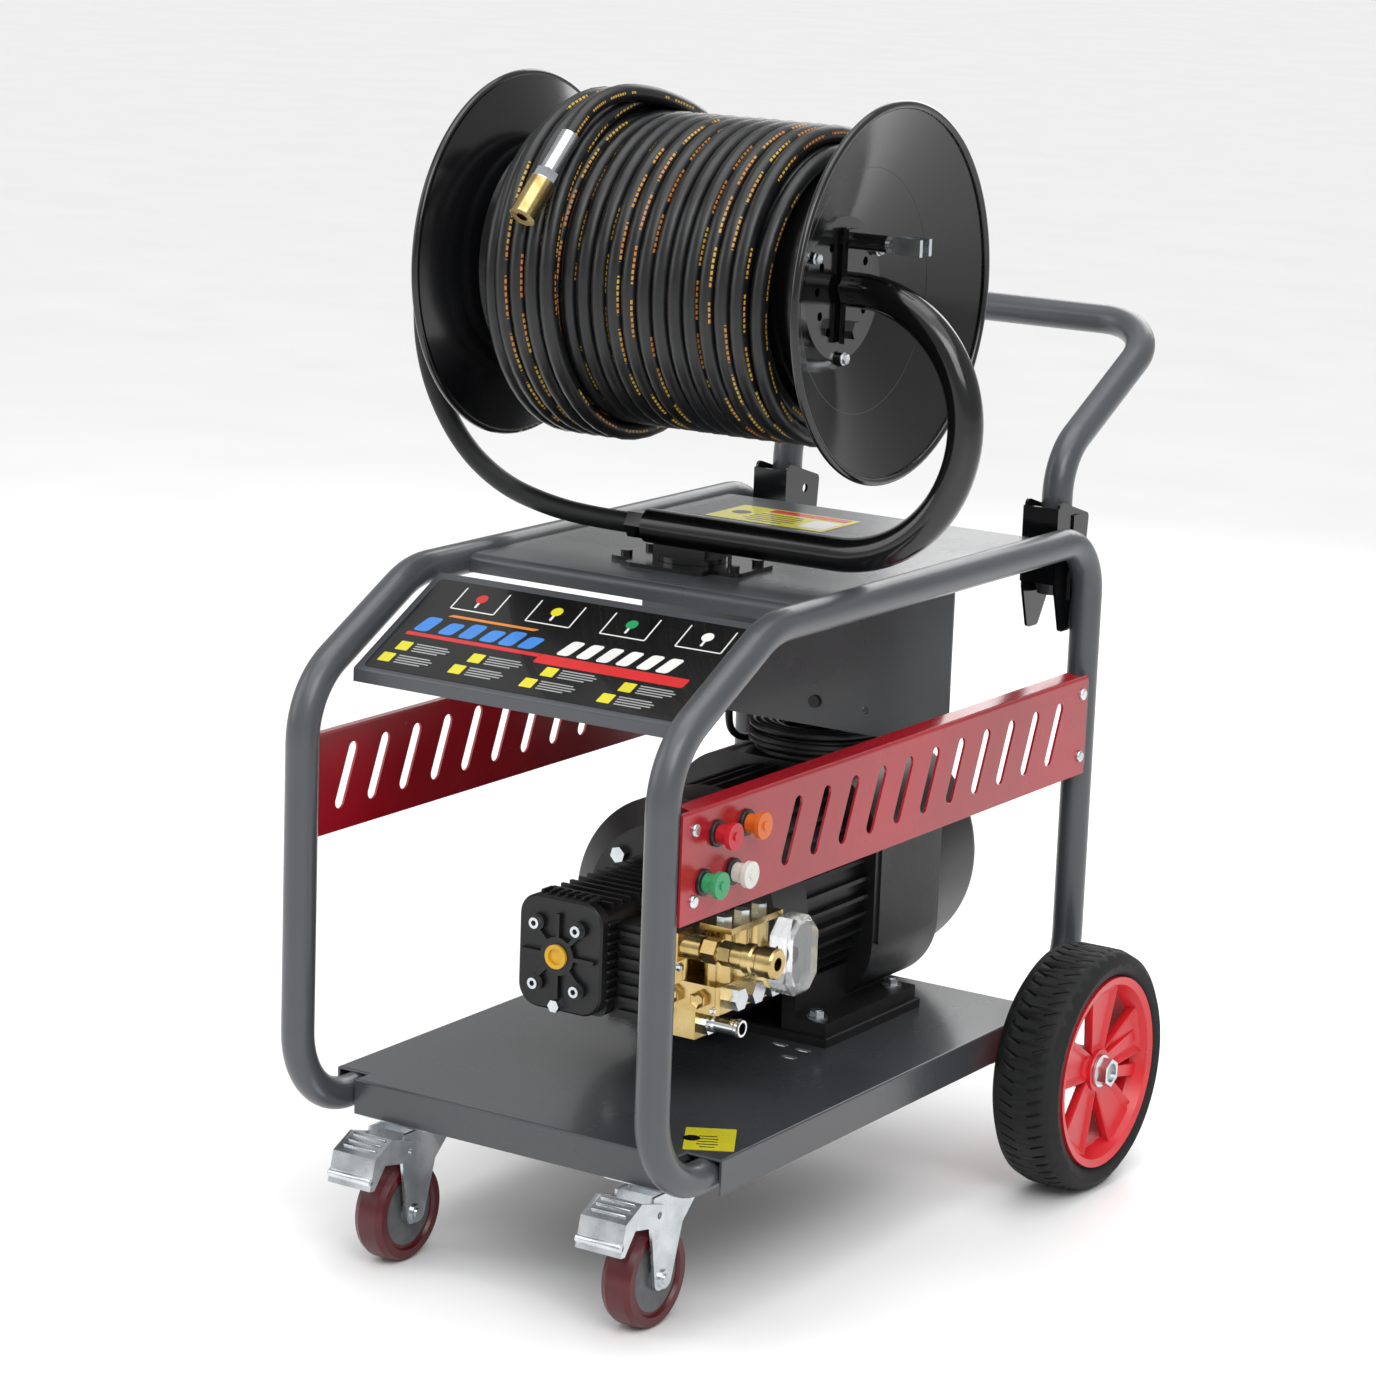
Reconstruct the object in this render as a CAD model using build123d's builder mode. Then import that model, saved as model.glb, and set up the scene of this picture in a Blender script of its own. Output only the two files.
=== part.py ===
from build123d import *
import os
from math import radians, tan

os.makedirs("parts", exist_ok=True)

# Pressure washer on a four-wheeled cart with a swivelling hose reel.
# Frame: +Z up, +Y towards the handle, +X to the machine's right-hand side as
# seen from the front. Origin on the floor, in the middle of the cart, under the
# front posts' centre line. Millimetres.

# ---- cart frame -----------------------------------------------------------
tube_r = 16.0            # hoop and handle tube, 32 mm outside
tube_wall = 2.0
hoop_x = 203.0           # hoop centre planes, left and right
post_gap = 797.0         # front post to rear post, centre to centre
rail_z = 663.0           # centre of the top rails
slant_low_z = rail_z - 91.0      # where the sloping part would meet the front post
slant_top_y = 168.0      # where it would meet the top rail
low_bend_r = 80.0
front_bend_r = 85.0
slant_bend_r = 100.0
rear_bend_r = 60.0

# ---- decks and panels -----------------------------------------------------
sheet = 2.5
deck_top_z = 177.5
flange_h = 35.0
deck_front_y = 67.5
deck_front_half = 185.0
deck_half = 223.0
notch_y = 90.0
deck_rear_y = post_gap - 82.0
top_deck_z = rail_z + 8.0
top_deck_front_y = 239.5
top_deck_rear_y = post_gap - 85.0
top_deck_half = hoop_x - tube_r + 0.5
lip_h = 18.0
sign_half = hoop_x - tube_r - 3
plate_half = hoop_x - tube_r - 2       # upright plate behind the sign, above the motor
plate_y = 545.0
plate_low_z = rail_z - 184.0
panel_top_z = 522.0      # red side panels
panel_low_z = 418.0
panel_front_y = 5.0
panel_rear_y = post_gap - 21.0
panel_bolt_in = 24.0
slot_w = 14.0
slot_len = 67.0
slot_lean = 22.0         # degrees from upright
slot_mid_z = 471.0
slot_first_y = 90.0
slot_pitch = 51.3
slot_count = 13
flange_in = 17.0

# ---- wheels ---------------------------------------------------------------
axle_y = post_gap - 96.0
wheel_r = 127.0
tyre_w = 75.5
wheel_out_x = 311.0
axle_r = 10.0
fit = 0.05               # radial running clearance of the turning parts
caster_x = 144.0
caster_axle_y = 86.0
caster_trail = 36.0
caster_r = 50.0
caster_w = 32.0
caster_plate_z = 142.5   # underside of the mounting bar, top of the caster plate

# ---- motor and pump -------------------------------------------------------
shaft_x = -14.0
shaft_z = 313.0
shaft_r = 14.0
base_plate_h = 10.0
base_front_y = 443.0
base_rear_y = 631.0
base_half = 135.0
stud_half = 112.0
stud_y1 = 461.0
stud_y2 = 609.0
motor_front_y = 425.0
box_front_y = 545.0
motor_rear_y = 680.0
motor_half = 124.0
motor_round_r = 118.0
cowl_r = 124.0
cowl_rear_y = 765.0
bell_front_y = 345.0
bell_r = 118.0
case_front_y = 175.0
case_half = 47.0
case_low_z = 256.0
case_top_z = 366.0
pump_mid_y = 258.0
plunger_pitch = 31.0
head_x = 74.0

# ---- handle ---------------------------------------------------------------
grip_x = 165.0
pivot_y = post_gap - 5.0
pivot_z = rail_z - 38.0
leg_low_z = pivot_z - 22.0
leg_bend_z = pivot_z + 117.0
grip_y = pivot_y + 218.0
grip_z = pivot_z + 236.0
grip_bend_r = 68.0
bracket_gap = 35.0       # between the two cheeks of a handle bracket
cheek = 3.0
bolt_r = 5.0

# ---- reel -----------------------------------------------------------------
reel_y = 350.0
reel_z = rail_z + 292.0
rim_r = 176.0
rim_x = 212.0            # plane of each rolled rim
hub_x = 157.0            # outer face of the flat hub disc
hub_disc_r = 68.0
core_r = 118.0
hose_r = 8.5
wind_r = 152.0           # outside of the finished layer of hose
wind_top_r = 168.0       # outside of the part layer on the left
wind_half = 163.0
arm_r = 16.85
arm_wall = 3.0
arm_out_r = 120.0        # upper bend of the right arm
arm_low_r = 133.0        # lower bend
arm_low_z = top_deck_z + 31.0
arm_end_x = -52.0
side_arm_r = 10.5
index_r = 46.0           # circle of the reel's locking holes
pin_r = 4.0

gap = 0.3                # between turning parts that pass each other


# ---- shared profiles -------------------------------------------------------
def bent_sheet(a, b, c, bend, thick, side):
    """Cross-section of a sheet bent once at b, thickened towards side."""
    outer = FilletPolyline(a, b, c, radius=bend)
    inner = FilletPolyline(*side, radius=bend - thick)
    Line(outer @ 0, inner @ 0)
    Line(outer @ 1, inner @ 1)


low_rail_z = deck_top_z - sheet - tube_r
slope = (rail_z - slant_low_z) / slant_top_y

# ==== cart frame ============================================================
# Each side is one closed loop of tube standing on edge.
with BuildPart() as left_hoop:
    with BuildLine() as loop:
        FilletPolyline((-hoop_x, 0, low_rail_z), (-hoop_x, 0, slant_low_z),
                       (-hoop_x, slant_top_y, rail_z), (-hoop_x, post_gap, rail_z),
                       (-hoop_x, post_gap, low_rail_z), close=True,
                       radius=[low_bend_r, front_bend_r, slant_bend_r, rear_bend_r, low_bend_r])
    with BuildSketch(Plane(loop.line @ 0, z_dir=loop.line % 0)):
        Circle(tube_r)
        Circle(tube_r - tube_wall, mode=Mode.SUBTRACT)
    sweep(path=loop.line)
left_hoop.part.label = "left_hoop"
export_step(left_hoop.part, "parts/left_hoop.step")

with BuildPart() as right_hoop:
    mirror(left_hoop.part, about=Plane.YZ)
right_hoop.part.label = "right_hoop"
export_step(right_hoop.part, "parts/right_hoop.step")

# Lower deck: sheet with turned-down edges; its front corners are cut back so
# the hoops can rise past it.
with BuildPart() as base_deck:
    with BuildSketch(Plane.XY.offset(deck_top_z)):
        with BuildLine():
            Polyline((-deck_front_half, deck_front_y), (deck_front_half, deck_front_y),
                     (deck_front_half, notch_y), (deck_half, notch_y), (deck_half, deck_rear_y),
                     (-deck_half, deck_rear_y), (-deck_half, notch_y), (-deck_front_half, notch_y),
                     close=True)
        make_face()
    extrude(amount=-sheet)
    with Locations((0, deck_front_y, deck_top_z)):
        Box(2 * deck_front_half, sheet, flange_h, align=(Align.CENTER, Align.MIN, Align.MAX))
    with Locations((0, deck_rear_y, deck_top_z)):
        Box(2 * (hoop_x - tube_r - 3), sheet, flange_h, align=(Align.CENTER, Align.MAX, Align.MAX))
    with Locations((-deck_half, notch_y, deck_top_z)):
        Box(sheet, deck_rear_y - notch_y, flange_h, align=(Align.MIN, Align.MIN, Align.MAX))
    with Locations((deck_half, notch_y, deck_top_z)):
        Box(sheet, deck_rear_y - notch_y, flange_h, align=(Align.MAX, Align.MIN, Align.MAX))
    fillet(base_deck.edges().filter_by_position(Axis.Z, deck_top_z, deck_top_z), radius=sheet * 0.9)
    with BuildSketch(Plane.XY.offset(deck_top_z)):
        with Locations((77, 427), (105, 425), (106, 397), (-105, 425), (-134, 397)):
            SlotOverall(18, 8)
        with Locations(*[(shaft_x + s * stud_half, y) for s in (-1, 1) for y in (stud_y1, stud_y2)]):
            Circle(bolt_r + 0.3)
    extrude(amount=-sheet, mode=Mode.SUBTRACT)
base_deck.part.label = "base_deck"
export_step(base_deck.part, "parts/base_deck.step")

# Upper deck between the top rails, with a rounded front lip.
with BuildPart() as top_deck:
    with BuildSketch(Plane.YZ):
        with BuildLine():
            bent_sheet((top_deck_rear_y, top_deck_z), (top_deck_front_y, top_deck_z),
                       (top_deck_front_y, top_deck_z - lip_h), 8, sheet,
                       ((top_deck_rear_y, top_deck_z - sheet),
                        (top_deck_front_y + sheet, top_deck_z - sheet),
                        (top_deck_front_y + sheet, top_deck_z - lip_h)))
        make_face()
    extrude(amount=top_deck_half, both=True)
top_deck.part.label = "top_deck"
export_step(top_deck.part, "parts/top_deck.step")

# Sloping sign panel between the sloping tubes, with a turned-down lower edge.
sign_y1, sign_y2 = 52.0, 186.0
sign_z1 = slant_low_z + slope * sign_y1 - 12.0
sign_z2 = slant_low_z + slope * sign_y2 - 12.0
with BuildPart() as sign_panel:
    with BuildSketch(Plane.YZ):
        with BuildLine():
            bent_sheet((sign_y2, sign_z2), (sign_y1, sign_z1), (sign_y1, sign_z1 - 13), 4, sheet,
                       ((sign_y2, sign_z2 - sheet), (sign_y1 + sheet, sign_z1 - sheet * 0.6),
                        (sign_y1 + sheet, sign_z1 - 13)))
        make_face()
    extrude(amount=sign_half, both=True)
sign_panel.part.label = "sign_panel"
export_step(sign_panel.part, "parts/sign_panel.step")

# Upright plate hanging from the upper deck; the electrical box is behind it.
with BuildPart() as back_plate:
    with Locations((0, plate_y, plate_low_z)):
        Box(2 * plate_half, sheet, top_deck_z - sheet - plate_low_z,
            align=(Align.CENTER, Align.MIN, Align.MIN))
    with Locations((0, plate_y, top_deck_z - sheet)):
        Box(2 * plate_half - 20, 18, sheet, align=(Align.CENTER, Align.MIN, Align.MAX))
    with Locations(Plane.XZ.offset(-plate_y)):
        with Locations((90, plate_low_z + 25.5), (-90, plate_low_z + 25.5)):
            Hole(4, depth=3 * sheet)
        with Locations((30, plate_low_z + 25.5)):
            Hole(3, depth=3 * sheet)
back_plate.part.label = "back_plate"
export_step(back_plate.part, "parts/back_plate.step")

box_y1 = plate_y + sheet
box_deep = 84.0
box_low_z = plate_low_z + 13.0
box_top_z = top_deck_z - 25.0
gland_x1, gland_x2, gland_y = -86.0, 58.0, 566.0
gland_low_z = box_low_z - 18.0
with BuildPart() as control_box:
    with Locations((-14, box_y1, box_low_z)):
        Box(200, box_deep, box_top_z - box_low_z, align=(Align.CENTER, Align.MIN, Align.MIN))
    fillet(control_box.edges().filter_by(Axis.Z).group_by(Axis.Y)[-1], radius=6)
    with Locations((-14, box_y1 + sheet, box_low_z + sheet)):
        Box(200 - 2 * sheet, box_deep - 2 * sheet, box_top_z - box_low_z - 2 * sheet,
            align=(Align.CENTER, Align.MIN, Align.MIN), mode=Mode.SUBTRACT)
    with Locations((30, plate_y, plate_low_z + 25.5)):
        with Locations(Rotation(90, 0, 0)):
            Cylinder(6.5, 3, align=(Align.CENTER, Align.CENTER, Align.MIN))
            Cylinder(3, 8, align=(Align.CENTER, Align.CENTER, Align.MAX))
control_box.part.label = "control_box"
export_step(control_box.part, "parts/control_box.step")

# ==== red side panels =======================================================
panel_x = hoop_x + tube_r          # inner face rests on the posts
holder_spots = [(61.0, 494.5), (110.0, 495.0), (41.0, 453.0), (90.5, 453.0)]
holder_r = 10.0
tip_bore_r = 5.6
panel_bolts_yz = [(y, z) for y in (panel_front_y + panel_bolt_in - 3.5, panel_rear_y - panel_bolt_in + 12)
                  for z in (panel_low_z + 20, panel_top_z - 18)]


def slotted_panel(first):
    """The right-hand panel with its slots from number first to the last."""
    with BuildPart() as blank:
        with BuildSketch(Plane.XZ.offset(-panel_front_y)):
            with BuildLine():
                bent_sheet((panel_x + sheet, panel_low_z), (panel_x + sheet, panel_top_z),
                           (panel_x + sheet - flange_in, panel_top_z + 3), 4, sheet,
                           ((panel_x, panel_low_z), (panel_x, panel_top_z - sheet),
                            (panel_x + sheet - flange_in, panel_top_z + 3 - sheet)))
            make_face()
        extrude(amount=panel_front_y - panel_rear_y)
        # the flange stops short of both posts
        for y in (panel_front_y, panel_rear_y):
            with Locations((panel_x, y, panel_top_z)):
                Box(30, 2 * (tube_r - panel_front_y + 4), 20, align=(Align.MAX, Align.CENTER, Align.CENTER),
                    mode=Mode.SUBTRACT)
        with BuildSketch(Plane.YZ.offset(panel_x)):
            spots = [(slot_first_y + i * slot_pitch, slot_mid_z) for i in range(first, slot_count)]
            with Locations(*spots):
                SlotOverall(slot_len, slot_w, rotation=90 - slot_lean)
            with Locations(*panel_bolts_yz):
                Circle(3.4)
        extrude(amount=2 * sheet, both=True, mode=Mode.SUBTRACT)
    return blank.part


with BuildPart() as left_panel:
    mirror(slotted_panel(0), about=Plane.YZ)
left_panel.part.label = "left_panel"
export_step(left_panel.part, "parts/left_panel.step")

with BuildPart() as right_panel:
    add(slotted_panel(2))
    with BuildSketch(Plane.YZ.offset(panel_x)):
        with Locations(*holder_spots):
            Circle(holder_r)
    extrude(amount=2 * sheet, both=True, mode=Mode.SUBTRACT)
right_panel.part.label = "right_panel"
export_step(right_panel.part, "parts/right_panel.step")

# Lugs welded to the inner sides of the posts carry the panels.
lug_z1, lug_z2 = panel_low_z + 8, panel_top_z - 7
with BuildPart() as panel_lugs:
    for y1, y2 in ((tube_r - 2, 30.6), (post_gap - 44, post_gap - tube_r + 2)):
        with Locations((panel_x, y1, lug_z1)):
            Box(3, y2 - y1, lug_z2 - lug_z1, align=(Align.MAX, Align.MIN, Align.MIN))
    with BuildSketch(Plane.YZ.offset(panel_x)):
        with Locations(*panel_bolts_yz):
            Circle(3.4)
    extrude(amount=-4, mode=Mode.SUBTRACT)
    mirror(about=Plane.YZ)
panel_lugs.part.label = "panel_lugs"
export_step(panel_lugs.part, "parts/panel_lugs.step")

with BuildPart() as panel_bolts:
    with BuildSketch(Plane.YZ.offset(panel_x + sheet)):
        with Locations(*panel_bolts_yz):
            Circle(6.2)
    extrude(amount=3.4)
    fillet(panel_bolts.edges().filter_by(GeomType.CIRCLE).group_by(Axis.X)[-1], radius=2.4)
    with BuildSketch(Plane.YZ.offset(panel_x + sheet)):
        with Locations(*panel_bolts_yz):
            Circle(3)
    extrude(amount=-(sheet + 3 + 8))
    with BuildSketch(Plane.YZ.offset(panel_x - 3)):
        with Locations(*panel_bolts_yz):
            RegularPolygon(5.8, 6)
    extrude(amount=-5)
    mirror(about=Plane.YZ)
panel_bolts.part.label = "panel_bolts"
export_step(panel_bolts.part, "parts/panel_bolts.step")

# Red sockets that hold the four spare spray tips.
with BuildPart() as tip_sockets:
    with BuildSketch(Plane.YZ.offset(panel_x - 3)):
        with Locations(*holder_spots):
            Circle(holder_r)
    extrude(amount=sheet + 3)
    with BuildSketch(Plane.YZ.offset(panel_x + sheet)):
        with Locations(*holder_spots):
            Circle(12.5)
    extrude(amount=4)
    fillet(tip_sockets.edges().filter_by(GeomType.CIRCLE).group_by(Axis.X)[-1], radius=1.5)
    with BuildSketch(Plane.YZ.offset(panel_x - 4)):
        with Locations(*holder_spots):
            Circle(tip_bore_r)
    extrude(amount=sheet + 12, mode=Mode.SUBTRACT)
tip_sockets.part.label = "tip_sockets"
export_step(tip_sockets.part, "parts/tip_sockets.step")

tip_x = panel_x + sheet + 4 + gap


def spray_tip(y, z):
    """Stem, ribbed collar and coloured disc of one quick-fit spray tip."""
    with BuildPart() as tip:
        with BuildSketch(Plane.XY):
            with BuildLine():
                Polyline((panel_x - 12, 0), (panel_x - 12, 4), (panel_x - 9, tip_bore_r - fit),
                         (tip_x, tip_bore_r - fit), (tip_x, 9), (tip_x + 12, 9), (tip_x + 12, 12.5),
                         (tip_x + 17, 12.5), (tip_x + 17, 4), (tip_x + 18.5, 4), (tip_x + 18.5, 0),
                         close=True)
            make_face()
        revolve(axis=Axis.X)
    return Location((0, y, z)) * tip.part


with BuildPart() as tip_red:
    add(spray_tip(*holder_spots[0]))
tip_red.part.label = "tip_red"
export_step(tip_red.part, "parts/tip_red.step")

with BuildPart() as tip_orange:
    add(spray_tip(*holder_spots[1]))
tip_orange.part.label = "tip_orange"
export_step(tip_orange.part, "parts/tip_orange.step")

with BuildPart() as tip_green:
    add(spray_tip(*holder_spots[2]))
tip_green.part.label = "tip_green"
export_step(tip_green.part, "parts/tip_green.step")

with BuildPart() as tip_white:
    add(spray_tip(*holder_spots[3]))
tip_white.part.label = "tip_white"
export_step(tip_white.part, "parts/tip_white.step")

# ==== rear wheels ===========================================================
# One through axle in two brackets under the deck; each wheel turns on it.
bracket_x = 172.0
with BuildPart() as axle:
    with BuildSketch(Plane.YZ.offset(bracket_x)):
        with BuildLine():
            Polyline((axle_y - 42, deck_top_z - sheet), (axle_y + 10, deck_top_z - sheet),
                     (axle_y + 10, wheel_r - 6), (axle_y + 5, wheel_r - 16), (axle_y - 9, wheel_r - 16),
                     close=True)
        make_face()
    extrude(amount=5)
    with Locations((bracket_x, axle_y - 42, deck_top_z - sheet)):
        Box(22, 52, 4, align=(Align.MAX, Align.MIN, Align.MAX))
    mirror(about=Plane.YZ)
    with Locations(Location((0, axle_y, wheel_r), (0, 90, 0))):
        Cylinder(axle_r, 2 * wheel_out_x - 2)
        for x in (-1, 1):
            with Locations((0, 0, x * (wheel_out_x - tyre_w - 3.5))):
                Cylinder(axle_r + 6, 6)
axle.part.label = "axle"
export_step(axle.part, "parts/axle.step")

rim_lip_r = 100.0
hub_r = 22.0
hub_in_x = wheel_out_x - tyre_w
with BuildPart() as right_rim:
    with BuildSketch(Plane.XY):
        with BuildLine():
            # rim band: a shallow well open to both sides
            Polyline((hub_in_x + 6, rim_lip_r), (hub_in_x + 6, rim_lip_r - 9), (hub_in_x + 20, rim_lip_r - 16),
                     (wheel_out_x - 20, rim_lip_r - 16), (wheel_out_x - 4, rim_lip_r - 8),
                     (wheel_out_x - 2, rim_lip_r), (wheel_out_x - 8, rim_lip_r), (wheel_out_x - 10, rim_lip_r - 5),
                     (wheel_out_x - 22, rim_lip_r - 11), (hub_in_x + 22, rim_lip_r - 11),
                     (hub_in_x + 12, rim_lip_r - 5), (hub_in_x + 12, rim_lip_r), close=True)
        make_face()
        with Locations(((hub_in_x + wheel_out_x - 12) / 2, hub_r / 2)):
            Rectangle(wheel_out_x - 12 - hub_in_x, hub_r)
    revolve(axis=Axis.X)
    # five pairs of spokes, dished inwards towards the hub
    for i in range(5):
        for side in (-1, 1):
            with BuildSketch(Plane.YZ.offset(wheel_out_x - 34)):
                with Locations(Location((0, 0, 0), (0, 0, 72 * i + 18))):
                    with BuildLine():
                        Polyline((hub_r - 4, side * 2), (hub_r - 4, side * 13), (rim_lip_r - 13, side * 27),
                                 (rim_lip_r - 13, side * 14), close=True)
                    make_face()
            extrude(amount=20)
    with Locations(Location((0, 0, 0), (0, 90, 0))):
        Cylinder(axle_r + fit, 2 * wheel_out_x + 20, mode=Mode.SUBTRACT)
right_rim.part.locate(Location((0, axle_y, wheel_r)))
right_rim.part.label = "right_rim"
export_step(right_rim.part, "parts/right_rim.step")

tread_half = tyre_w / 2
with BuildPart() as right_tyre:
    with BuildSketch(Plane.XY):
        with BuildLine():
            Polyline((hub_in_x + 12, rim_lip_r - 5), (hub_in_x + 12, rim_lip_r + 2), (hub_in_x + 4, rim_lip_r + 6),
                     (hub_in_x, rim_lip_r + 14), (hub_in_x + 6, wheel_r - 4), (hub_in_x + 18, wheel_r),
                     (wheel_out_x - 18, wheel_r), (wheel_out_x - 6, wheel_r - 4), (wheel_out_x, rim_lip_r + 14),
                     (wheel_out_x - 3, rim_lip_r + 4), (wheel_out_x - 8, rim_lip_r), (wheel_out_x - 10, rim_lip_r - 5),
                     (wheel_out_x - 22, rim_lip_r - 11), (hub_in_x + 22, rim_lip_r - 11), close=True)
        make_face()
    revolve(axis=Axis.X)
right_tyre.part.locate(Location((0, axle_y, wheel_r)))
right_tyre.part.label = "right_tyre"
export_step(right_tyre.part, "parts/right_tyre.step")

with BuildPart() as left_rim:
    mirror(right_rim.part, about=Plane.YZ)
left_rim.part.label = "left_rim"
export_step(left_rim.part, "parts/left_rim.step")

with BuildPart() as left_tyre:
    mirror(right_tyre.part, about=Plane.YZ)
left_tyre.part.label = "left_tyre"
export_step(left_tyre.part, "parts/left_tyre.step")

with BuildPart() as axle_nuts:
    with Locations(Location((wheel_out_x - 12 + gap, axle_y, wheel_r), (0, 90, 0))):
        Cylinder(17, 2.5, align=(Align.CENTER, Align.CENTER, Align.MIN))
        with BuildSketch(Plane((wheel_out_x - 12 + gap + 2.5, axle_y, wheel_r), z_dir=(1, 0, 0))):
            RegularPolygon(15, 6)
        extrude(amount=11)
    with Locations(Location((0, axle_y, wheel_r), (0, 90, 0))):
        Cylinder(axle_r, 2 * wheel_out_x + 40, mode=Mode.SUBTRACT)
    mirror(about=Plane.YZ)
axle_nuts.part.label = "axle_nuts"
export_step(axle_nuts.part, "parts/axle_nuts.step")

# ==== casters ===============================================================
# Braked swivel casters, trailing forwards, under a bar across the deck.
swivel_y = caster_axle_y + caster_trail
bar_h = deck_top_z - sheet - caster_plate_z
with BuildPart() as caster_bar:
    with Locations((0, swivel_y, caster_plate_z)):
        Box(2 * (hoop_x - tube_r - 2), 92, bar_h, align=(Align.CENTER, Align.CENTER, Align.MIN))
        Box(2 * (hoop_x - tube_r + 2), 86, bar_h - 6, align=(Align.CENTER, Align.CENTER, Align.MIN),
            mode=Mode.SUBTRACT)
caster_bar.part.label = "caster_bar"
export_step(caster_bar.part, "parts/caster_bar.step")

plate_t = 4.0
kingpin_r = 7.0
with BuildPart() as caster_plates:
    with Locations((caster_x, swivel_y, caster_plate_z)):
        Box(82, 94, plate_t, align=(Align.CENTER, Align.CENTER, Align.MAX))
        with GridLocations(60, 72, 2, 2):
            Cylinder(6.5, 4, align=(Align.CENTER, Align.CENTER, Align.MIN))
    with Locations((caster_x, swivel_y, caster_plate_z - plate_t)):
        Cylinder(24, 4, align=(Align.CENTER, Align.CENTER, Align.MAX))
        Cylinder(kingpin_r, 20, align=(Align.CENTER, Align.CENTER, Align.MAX))
        with Locations((0, 0, -17)):
            Cylinder(11, 5, align=(Align.CENTER, Align.CENTER, Align.MAX))
    mirror(about=Plane.YZ)
caster_plates.part.label = "caster_plates"
export_step(caster_plates.part, "parts/caster_plates.step")

crown_z = caster_plate_z - plate_t - 4 - gap
cheek_in = caster_w / 2 + 3
with BuildPart() as right_fork:
    with BuildSketch(Plane.XY.offset(crown_z)):
        Circle(31)
        with Locations((0, -caster_trail * 0.55)):
            Rectangle(2 * cheek_in + 6, 36)
    extrude(amount=-6)
    for side in (-1, 1):
        with BuildSketch(Plane.YZ.offset(side * cheek_in)):
            with BuildLine():
                Polyline((18, crown_z), (-caster_trail - 20, crown_z), (-caster_trail - 24, crown_z - 22),
                         (-caster_trail - 13, caster_r - 10), (-caster_trail + 12, caster_r - 10),
                         (-6, crown_z - 36), (18, crown_z - 14), close=True)
            make_face()
        extrude(amount=side * 3)
    fillet(right_fork.edges().filter_by(Axis.X).group_by(Axis.Z)[0], radius=9)
    with Locations((0, 0, crown_z)):
        Cylinder(kingpin_r + fit, 14, mode=Mode.SUBTRACT)
    with Locations(Location((0, -caster_trail, caster_r), (0, 90, 0))):
        Cylinder(5, 2 * cheek_in + 6 + 8)
        Cylinder(9, 2 * cheek_in + 6 + 5)
        Cylinder(12, 2 * cheek_in, mode=Mode.SUBTRACT)
        Cylinder(5, 2 * cheek_in + 2)
    # pivot pin of the brake pedal, across the front of the fork
    with Locations(Location((0, -caster_trail - 15, crown_z - 17), (0, 90, 0))):
        Cylinder(3.5, 2 * cheek_in + 6)
right_fork.part.locate(Location((caster_x, swivel_y, 0)))
right_fork.part.label = "right_fork"
export_step(right_fork.part, "parts/right_fork.step")

with BuildPart() as right_caster_wheel:
    with BuildSketch(Plane.XY):
        with BuildLine():
            Polyline((-caster_w / 2 - 2.4, 5 + fit), (caster_w / 2 + 2.4, 5 + fit), (caster_w / 2 + 2.4, 11),
                     (caster_w / 2 - 2, 13), (caster_w / 2 - 3, caster_r - 13), (caster_w / 2, caster_r - 11),
                     (caster_w / 2, caster_r - 3), (caster_w / 2 - 6, caster_r), (-caster_w / 2 + 6, caster_r),
                     (-caster_w / 2, caster_r - 3), (-caster_w / 2, caster_r - 11),
                     (-caster_w / 2 + 3, caster_r - 13), (-caster_w / 2 + 2, 13), (-caster_w / 2 - 2.4, 11),
                     close=True)
        make_face()
    revolve(axis=Axis.X)
right_caster_wheel.part.locate(Location((caster_x, caster_axle_y, caster_r)))
right_caster_wheel.part.label = "right_caster_wheel"
export_step(right_caster_wheel.part, "parts/right_caster_wheel.step")

# Pedal: a pressed channel wrapping the front of the fork.
pedal_half = cheek_in + 3 + gap + 3
pin_y = caster_axle_y - 15
pin_z = crown_z - 17
with BuildPart() as right_pedal:
    for side in (-1, 1):
        with BuildSketch(Plane.YZ.offset(side * (pedal_half - 3))):
            with BuildLine():
                Polyline((pin_y + 9, pin_z + 8), (pin_y - 30, pin_z + 19), (pin_y - 56, pin_z + 6),
                         (pin_y - 64, pin_z - 24), (pin_y - 57, pin_z - 25), (pin_y - 40, pin_z - 4),
                         (pin_y - 14, pin_z - 9), (pin_y + 9, pin_z - 8), close=True)
            make_face()
        extrude(amount=side * 3)
    with BuildSketch(Plane.YZ):
        with BuildLine():
            Polyline((pin_y - 28, pin_z + 18.6), (pin_y - 56, pin_z + 6), (pin_y - 64, pin_z - 24),
                     (pin_y - 61, pin_z - 24.4), (pin_y - 53.5, pin_z + 3.6), (pin_y - 28, pin_z + 15.2),
                     close=True)
        make_face()
    extrude(amount=pedal_half, both=True)
    with Locations(Location((0, pin_y, pin_z), (0, 90, 0))):
        Cylinder(3.5 + fit, 2 * pedal_half + 6, mode=Mode.SUBTRACT)
right_pedal.part.locate(Location((caster_x, 0, 0)))
right_pedal.part.label = "right_pedal"
export_step(right_pedal.part, "parts/right_pedal.step")

with BuildPart() as left_fork:
    mirror(right_fork.part, about=Plane.YZ)
left_fork.part.label = "left_fork"
export_step(left_fork.part, "parts/left_fork.step")

with BuildPart() as left_caster_wheel:
    mirror(right_caster_wheel.part, about=Plane.YZ)
left_caster_wheel.part.label = "left_caster_wheel"
export_step(left_caster_wheel.part, "parts/left_caster_wheel.step")

with BuildPart() as left_pedal:
    mirror(right_pedal.part, about=Plane.YZ)
left_pedal.part.label = "left_pedal"
export_step(left_pedal.part, "parts/left_pedal.step")

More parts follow.
